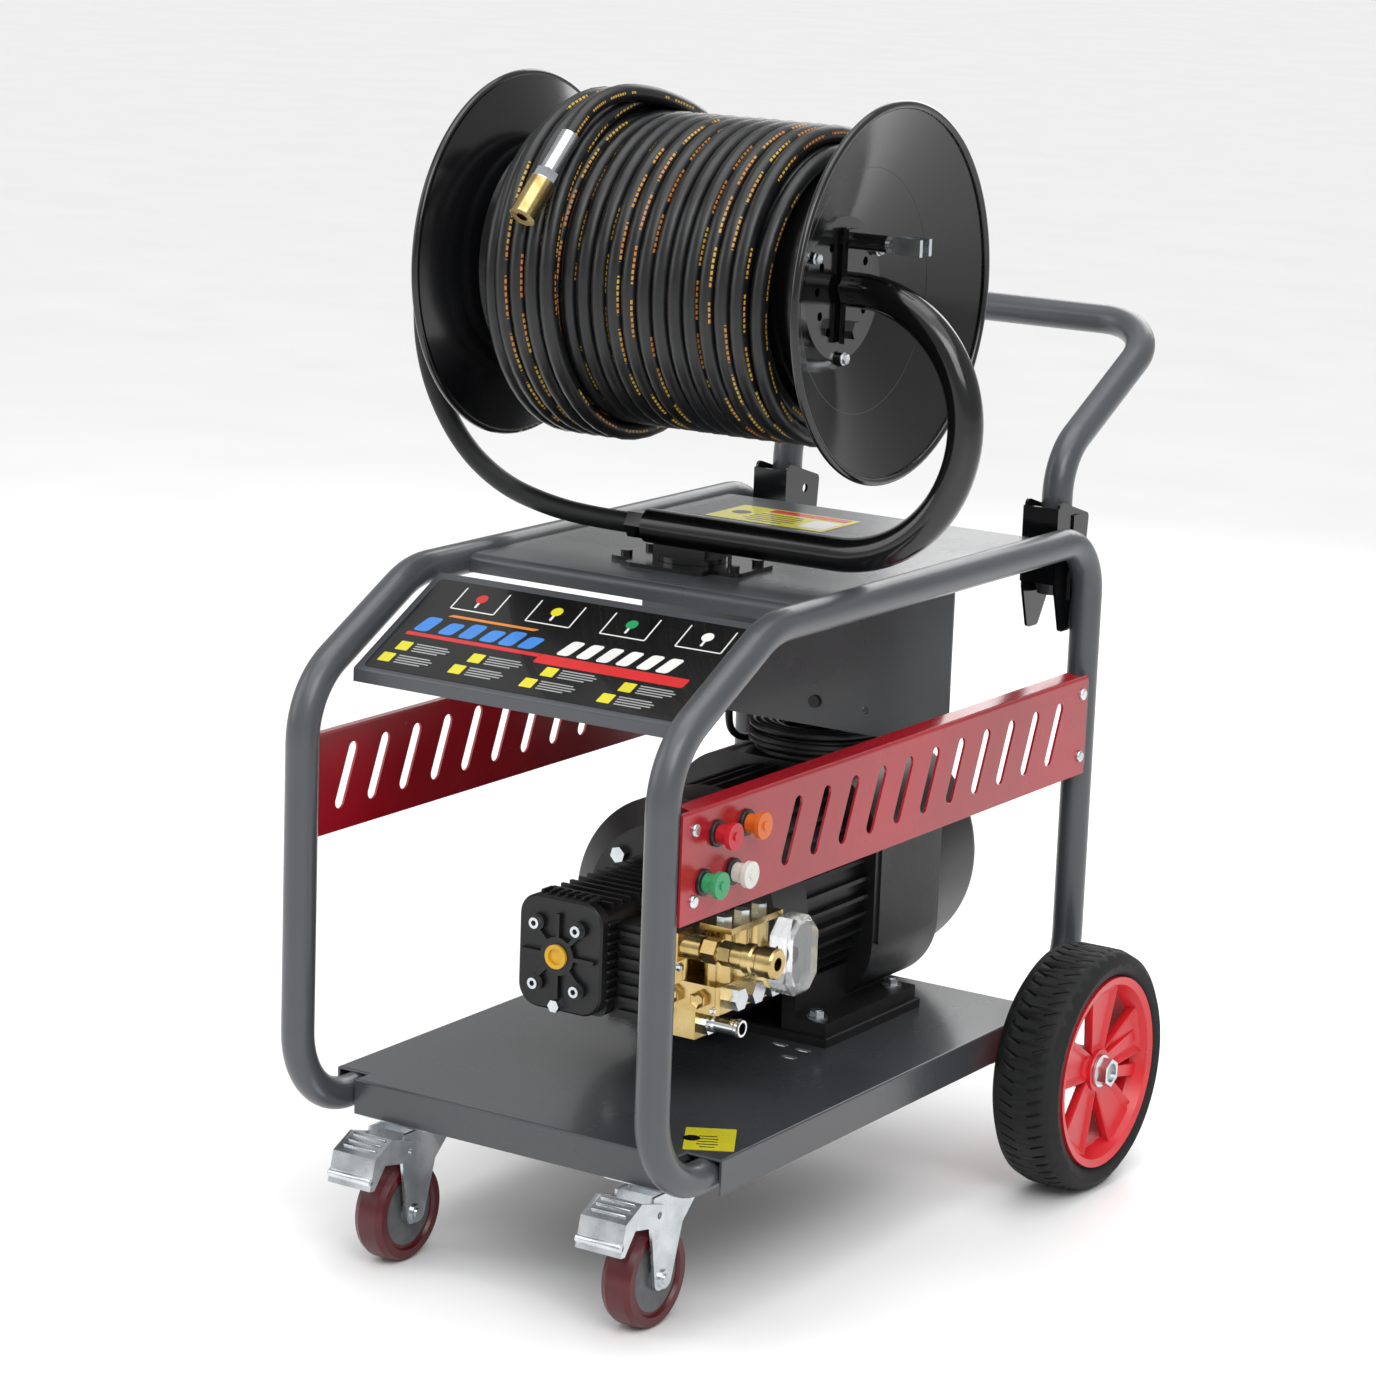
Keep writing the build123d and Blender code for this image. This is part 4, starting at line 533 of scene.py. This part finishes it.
def makeSign(s):
    low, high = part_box("sign_panel")
    lowEdge = Vector((0, low.y, low.z + 13 * mm))
    rise = Vector((0, high.y, high.z)) - lowEdge
    lift = 0.35 * mm
    parts = {key: [] for key in films}
    parts["Black"].append(addPatch(0, 74, 352, 138, corner=5, thick=0.25))
    for colour, x in s["trays"]:
        low1 = s["trayLow"]
        for across, wide, deep, up in ((0, s["trayWide"], 1.5, 0), (-s["trayWide"] / 2, 1.5, s["trayDeep"], 0.5),
                                       (s["trayWide"] / 2, 1.5, s["trayDeep"], 0.5)):
            parts["White"].append(addPatch(x + across, low1 + up * s["trayDeep"], wide, deep, corner=0.6, low=0.25,
                                           thick=0.15))
        parts["White"].append(addPatch(x, low1 + 11, 2.6, 11, corner=0.8, low=0.25, thick=0.15))
        parts[colour].append(addDisc(x, low1 + 19, 6.2, low=0.25, thick=0.2))
    for i, x in enumerate(s["blueBars"]):
        deep = s["titleDeep"] - 4 * (i % 2)
        parts["Blue"].append(addPatch(x, s["title"] - 1.5 * (i % 2), 17, deep, lean=7, corner=4, low=0.25, thick=0.15))
    parts["Orange"].append(addPatch(-84, s["title"] + 17, 100, 3.4, lean=5, corner=1.6, low=0.25, thick=0.15))
    for x in s["whiteBars"]:
        parts["White"].append(addPatch(x, s["title"], 14, s["titleDeep"], lean=8, corner=3.5, low=0.25, thick=0.15))
    parts["Red"].append(addPatch(-84, s["stripe"] + 3, 156, 5, lean=1, corner=1, low=0.25, thick=0.15))
    parts["Red"].append(addPatch(74, s["stripe"] - 1, 166, 13, lean=2, corner=2.5, low=0.25, thick=0.15))
    for x, u in s["notes"]:
        parts["Yellow"].append(addPatch(x, u, 14, 13, lean=1, corner=1, low=0.25, thick=0.15))
        for line in range(4):
            wide = (36, 40, 38, 30)[line]
            parts["Grey"].append(addPatch(x + 12 + wide / 2, u + 5 - 3.4 * line, wide, 1.5, corner=0.4, low=0.25,
                                          thick=0.12))
    tilt = Vector((0, rise.y, rise.z)).angle(Vector((0, 1, 0)))
    normal = Vector((0, -sin(tilt), cos(tilt)))
    for colour, pieces in parts.items():
        sheetPiece = joined("sign" + colour, pieces)
        setDown(sheetPiece, lowEdge + normal * lift, (tilt, 0, 0))
        dress(sheetPiece, films[colour], "cart")


makeSign(signSettings)
print("sign sticker made")

# Two small notices: one on the upper deck behind the reel, one on the base deck by the right caster.
noticeSettings = {
    "upper": {"node": "top_deck", "x": -66, "y": 624, "wide": 142, "deep": 80, "turn": 0, "head": "Red"},
    "lower": {"node": "base_deck", "x": 182, "y": 133, "wide": 48, "deep": 64, "turn": 30, "head": "Yellow"},
}


def makeNotice(name, s):
    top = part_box(s["node"])[1].z + 0.1 * mm
    wide, deep = s["wide"], s["deep"]
    parts = {"Yellow": [addPatch(0, 0, wide, deep, corner=2, thick=0.25)], "Black": []}
    if s["head"] != "Yellow":
        parts[s["head"]] = [addPatch(wide * 0.12, deep * 0.36, wide * 0.66, deep * 0.2, corner=1, low=0.25, thick=0.12)]
        parts["White"] = [addPatch(wide * 0.35, -deep * 0.1, wide * 0.22, deep * 0.52, corner=1, low=0.25, thick=0.12)]
    for line in range(5):
        parts["Black"].append(addPatch(-wide * 0.04, deep * (0.12 - 0.12 * line), wide * (0.36, 0.42, 0.4, 0.43, 0.3)[line],
                                       deep * 0.035, corner=0.4, low=0.25, thick=0.1))
    parts["Black"].append(addDisc(-wide * 0.36, deep * 0.02, deep * 0.13, low=0.25, thick=0.1))
    for colour, pieces in parts.items():
        piece = joined(name + "Notice" + colour, pieces)
        setDown(piece, (s["x"] * mm, s["y"] * mm, top), (0, 0, radians(s["turn"])))
        dress(piece, films[colour], "cart")


for key, value in noticeSettings.items():
    makeNotice(key, value)
print("notices made")

# Short cooling fins round the pump's front cover, as a comb down each side and along the top.
finSettings = {"wide": 6.5, "long": 17, "thick": 3.2, "pitch": 9.4, "count": 9, "topCount": 7, "y": 179}


def makeFins(s):
    low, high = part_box("crank_cover")
    rows = []
    for side, x in (("left", low.x), ("right", high.x)):
        for i in range(s["count"]):
            z = (low.z + high.z) / 2 + (i - (s["count"] - 1) / 2) * s["pitch"] * mm
            rows.append(((x, s["y"] * mm, z), (s["wide"], s["long"], s["thick"])))
    for i in range(s["topCount"]):
        x = (low.x + high.x) / 2 + (i - (s["topCount"] - 1) / 2) * s["pitch"] * mm
        rows.append(((x, s["y"] * mm, high.z), (s["thick"], s["long"], s["wide"])))
    fins = []
    for place, size in rows:
        bpy.ops.object.select_all(action="DESELECT")
        bpy.ops.mesh.primitive_cube_add(size=1)
        fin = bpy.context.object
        bpy.ops.object.mode_set(mode="EDIT")
        bpy.ops.transform.resize(value=[c * mm for c in size])
        bpy.ops.mesh.bevel(offset=1.1 * mm, segments=2, affect="EDGES")
        bpy.ops.transform.translate(value=place)
        closeUp()
        fins.append(fin)
    comb = joined("coverFins", fins)
    smooth(comb)
    dress(comb, pumpPaint, "cart")


makeFins(finSettings)
print("cover fins made")

# Tyres: the plain shape with slanted grooves cut across its crown.
treadSettings = {"grooves": 60, "long": 24, "wide": 2.6, "deep": 1.8, "slant": 24, "offset": 19}


def makeTyre(side, s):
    source = nodes[side + "_tyre"]
    low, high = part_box(side + "_tyre")
    centre = (low + high) / 2
    radius = (high.z - low.z) / 2
    tyre = bpy.data.objects.new(side + "Tread", source.data.copy())
    bpy.context.scene.collection.objects.link(tyre)
    bpy.ops.object.select_all(action="DESELECT")
    tyre.select_set(True)
    bpy.context.view_layer.objects.active = tyre
    bpy.ops.object.mode_set(mode="EDIT")
    closeUp()
    bars = []
    for row in (-1, 1):
        for i in range(s["grooves"]):
            angle = 360 * (i + 0.25 * row) / s["grooves"]
            bpy.ops.object.select_all(action="DESELECT")
            bpy.ops.mesh.primitive_cube_add(size=1)
            bar = bpy.context.object
            bpy.ops.object.mode_set(mode="EDIT")
            bpy.ops.transform.resize(value=(s["long"] * mm, s["wide"] * mm, 2 * s["deep"] * mm))
            bpy.ops.object.mode_set(mode="OBJECT")
            bar.data.transform(Euler((0, 0, radians(s["slant"] * row))).to_matrix().to_4x4())
            bar.data.transform(Matrix.Translation((s["offset"] * row * mm, 0, radius)))
            bar.data.transform(Euler((radians(angle), 0, 0)).to_matrix().to_4x4())
            bar.data.transform(Matrix.Translation(centre))
            bars.append(bar)
    cutter = joined(side + "Cutter", bars)
    bpy.ops.object.select_all(action="DESELECT")
    tyre.select_set(True)
    bpy.context.view_layer.objects.active = tyre
    cut = tyre.modifiers.new("grooves", "BOOLEAN")
    cut.operation = "DIFFERENCE"
    cut.solver = "EXACT"
    cut.object = cutter
    bpy.ops.object.modifier_apply(modifier=cut.name)
    bpy.data.objects.remove(cutter, do_unlink=True)
    smooth(tyre, 30)
    dress(tyre, tyreRubber, side + "_wheel")
    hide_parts(side + "_tyre")


for side in ("left", "right"):
    makeTyre(side, treadSettings)
print("tyres cut")


# Wheel faces: five broad dished spokes, each with a sunk middle, over the plain spokes.
spokeSettings = {"count": 5, "hubEnd": 19, "rimEnd": 88, "hubWide": 27, "rimWide": 57, "thick": 11, "inset": 5.5,
                 "sunk": 5.0, "fromOutside": 9.5, "dish": 5}


def makeSpokes(side, s):
    low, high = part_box(side + "_tyre")
    centre = (low + high) / 2
    outward = 1 if side == "right" else -1
    face = (high.x if side == "right" else -low.x) - s["fromOutside"] * mm
    middle = (s["hubEnd"] + s["rimEnd"]) / 2 * mm
    spokes = []
    for i in range(s["count"]):
        bpy.ops.object.select_all(action="DESELECT")
        bpy.ops.mesh.primitive_cube_add(size=1)
        spoke = bpy.context.object
        bpy.ops.object.mode_set(mode="EDIT")
        bpy.ops.transform.resize(value=(s["thick"] * mm, s["hubWide"] * mm, (s["rimEnd"] - s["hubEnd"]) * mm))
        bpy.ops.transform.translate(value=(face - s["thick"] / 2 * mm, 0, middle))
        pickVertices(spoke, lambda p: p.z > middle)
        bpy.ops.transform.resize(value=(1, s["rimWide"] / s["hubWide"], 1))
        pickVertices(spoke, lambda p: p.z < middle)
        bpy.ops.transform.translate(value=(-s["dish"] * mm, 0, 0))
        bpy.ops.mesh.select_all(action="DESELECT")
        pickFaces(spoke, lambda f: f.normal.x > 0.9)
        bpy.ops.mesh.inset(thickness=s["inset"] * mm)
        bpy.ops.transform.translate(value=(-s["sunk"] * mm, 0, 0))
        bpy.ops.transform.resize(value=(1, 0.86, 0.94))
        closeUp()
        spoke.data.transform(Euler((radians(360 / s["count"] * i), 0, 0)).to_matrix().to_4x4())
        spokes.append(spoke)
    star = joined(side + "Spokes", spokes)
    if outward < 0:
        star.data.transform(Matrix.Scale(-1, 4, (1, 0, 0)))
        star.data.flip_normals()
    star.data.transform(Matrix.Translation((0, centre.y, centre.z)))
    round_ = star.modifiers.new("soft edges", "BEVEL")
    round_.width = 1.6 * mm
    round_.segments = 3
    round_.limit_method = "ANGLE"
    bpy.context.view_layer.objects.active = star
    bpy.ops.object.modifier_apply(modifier=round_.name)
    smooth(star, 40)
    dress(star, redPlastic, side + "_wheel")


for side in ("left", "right"):
    makeSpokes(side, spokeSettings)
print("wheel faces made")


# Grip ridges and a rolled toe on each brake pedal.
ridgeSettings = {"spots": ((38.5, 134.6), (31.0, 131.2), (23.5, 127.9)), "lean": 24, "wide": 2.6, "high": 2.4,
                 "toe": (9.2, 102.0), "toeRound": 4.2, "margin": 6}


def makeRidges(side, s):
    low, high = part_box(side + "_pedal")
    middle = (low.x + high.x) / 2
    long = high.x - low.x - 2 * s["margin"] * mm
    ridges = []
    for y, z in s["spots"]:
        bpy.ops.object.select_all(action="DESELECT")
        bpy.ops.mesh.primitive_cube_add(size=1)
        ridge = bpy.context.object
        bpy.ops.object.mode_set(mode="EDIT")
        bpy.ops.transform.resize(value=(long, s["wide"] * mm, s["high"] * mm))
        bpy.ops.mesh.bevel(offset=0.9 * mm, segments=2, affect="EDGES")
        closeUp()
        ridge.data.transform(Euler((radians(s["lean"]), 0, 0)).to_matrix().to_4x4())
        ridge.data.transform(Matrix.Translation((middle, y * mm, z * mm)))
        ridges.append(ridge)
    bpy.ops.object.select_all(action="DESELECT")
    bpy.ops.mesh.primitive_cylinder_add(vertices=20, radius=s["toeRound"] * mm, depth=high.x - low.x)
    toe = bpy.context.object
    bpy.ops.object.mode_set(mode="EDIT")
    pickFaces(toe, lambda f: abs(f.normal.z) > 0.9)
    bpy.ops.mesh.bevel(offset=1.2 * mm, segments=2, affect="EDGES")
    closeUp()
    toe.data.transform(Euler((0, radians(90), 0)).to_matrix().to_4x4())
    toe.data.transform(Matrix.Translation((middle, s["toe"][0] * mm, s["toe"][1] * mm)))
    ridges.append(toe)
    grip = joined(side + "PedalGrip", ridges)
    smooth(grip)
    dress(grip, zincPlate, side + "_brake")


for side in ("left", "right"):
    makeRidges(side, ridgeSettings)
print("pedal grips made")

# Bolt heads with washers on the three bosses at each end of the drum.
boltSettings = {"centreY": 350, "centreZ": 955, "circle": 66, "bossX": 161, "angles": (-90, 30, 150), "head": 5.4,
                "headHigh": 3.4, "washer": 6.4, "washerHigh": 1.0}


def makeReelBolts(s):
    bolts = []
    for side in (-1, 1):
        for angle in s["angles"]:
            x = s["bossX"]
            for sides, radius, high in ((24, s["washer"], s["washerHigh"]), (6, s["head"], s["headHigh"])):
                bpy.ops.object.select_all(action="DESELECT")
                bpy.ops.mesh.primitive_cylinder_add(vertices=sides, radius=radius * mm, depth=high * mm)
                part = bpy.context.object
                bpy.ops.object.mode_set(mode="EDIT")
                pickFaces(part, lambda f: f.normal.z > 0.9)
                bpy.ops.mesh.bevel(offset=0.35 * mm, segments=2, affect="EDGES")
                if sides == 6:
                    pickFaces(part, lambda f: f.normal.z > 0.99)
                    bpy.ops.mesh.inset(thickness=1.2 * mm)
                    bpy.ops.transform.translate(value=(0, 0, -0.4 * mm))
                closeUp()
                part.data.transform(Euler((0, radians(90 * side), 0)).to_matrix().to_4x4())
                y = s["centreY"] + s["circle"] * cos(radians(angle))
                z = s["centreZ"] + s["circle"] * sin(radians(angle))
                part.data.transform(Matrix.Translation((side * (x + high / 2) * mm, y * mm, z * mm)))
                bolts.append(part)
                x += high
    heads = joined("reelBolts", bolts)
    smooth(heads, 30)
    dress(heads, zincPlate, "drum")


makeReelBolts(boltSettings)
print("reel bolts made")

# Threaded plugs on the front of the brass manifold, and small bolts beside them.
plugSettings = {"faceY": 204, "plugs": ((92, 286, 9.0, 7.0), (121, 286, 9.0, 7.0)),
                "bolts": ((82, 320, 5.0, 4.0), (97, 313, 4.2, 4.0), (135.5, 277, 3.6, 3.0))}


def makePlugs(s):
    for name, spots, material, slotName in (("manifoldPlugs", s["plugs"], brass, "brass"),
                                            ("manifoldBolts", s["bolts"], zincPlate, "zinc")):
        heads = []
        for x, z, radius, high in spots:
            bpy.ops.object.select_all(action="DESELECT")
            bpy.ops.mesh.primitive_cylinder_add(vertices=6, radius=radius * mm, depth=high * mm)
            head = bpy.context.object
            bpy.ops.object.mode_set(mode="EDIT")
            pickFaces(head, lambda f: f.normal.z > 0.9)
            bpy.ops.mesh.bevel(offset=0.8 * mm, segments=2, affect="EDGES")
            pickFaces(head, lambda f: f.normal.z > 0.99)
            bpy.ops.mesh.inset(thickness=0.32 * radius * mm)
            bpy.ops.transform.translate(value=(0, 0, -0.35 * high * mm))
            closeUp()
            head.data.transform(Euler((radians(90), 0, 0)).to_matrix().to_4x4())
            head.data.transform(Matrix.Translation((x * mm, (s["faceY"] - high / 2 + 0.2) * mm, z * mm)))
            heads.append(head)
        group = joined(name, heads)
        smooth(group, 30)
        dress(group, material, "cart")


makePlugs(plugSettings)
print("manifold plugs made")

studioLights = (("keyLight", (2.4, -1.8, 2.9), 2.0, 46), ("fillLight", (-2.6, -1.6, 2.0), 2.2, 26),
                ("topLight", (0, 0.6, 3.4), 2.4, 22), ("rimLight", (-0.6, 3.4, 2.2), 2.0, 34))


def makeStudio():
    bpy.ops.mesh.primitive_plane_add(size=120, location=(0, 20, 0))
    floor = bpy.context.object
    floor.name = "floor"
    material, tree, shader, place = newMaterial("pale floor", Roughness=0.55)
    shade = rangeOf(tree, noise(tree, place, 3, 3), 0, 1)
    tree.links.new(mixColours(tree, shade, linear("#f7f7f7"), linear("#fbfbfb")), shader.inputs["Base Color"])
    floor.data.materials.append(material)
    world = bpy.data.worlds.new("studio")
    bpy.context.scene.world = world
    world.use_nodes = True
    tree = world.node_tree
    seen = addNode(tree, "ShaderNodeLightPath").outputs["Is Camera Ray"]
    strength = addNode(tree, "ShaderNodeMapRange", {"Value": seen, "To Min": 0.5, "To Max": 0.95}).outputs["Result"]
    tree.nodes["Background"].inputs["Color"].default_value = (1, 1, 1, 1)
    tree.links.new(strength, tree.nodes["Background"].inputs["Strength"])
    sun = bpy.data.lights.new("skyLight", "SUN")
    sun.energy = 1.65
    sun.angle = radians(70)
    sky = bpy.data.objects.new("skyLight", sun)
    bpy.context.scene.collection.objects.link(sky)
    sky.rotation_euler = (radians(18), radians(14), 0)
    for name, place, size, power in studioLights:
        data = bpy.data.lights.new(name, "AREA")
        data.energy = power
        data.size = size
        lamp = bpy.data.objects.new(name, data)
        bpy.context.scene.collection.objects.link(lamp)
        lamp.location = place
        lamp.rotation_euler = (Vector((0, 0.4, 0.5)) - Vector(place)).to_track_quat("-Z", "Y").to_euler()
    bpy.context.scene.view_settings.view_transform = "Standard"


makeStudio()
print("studio lit")
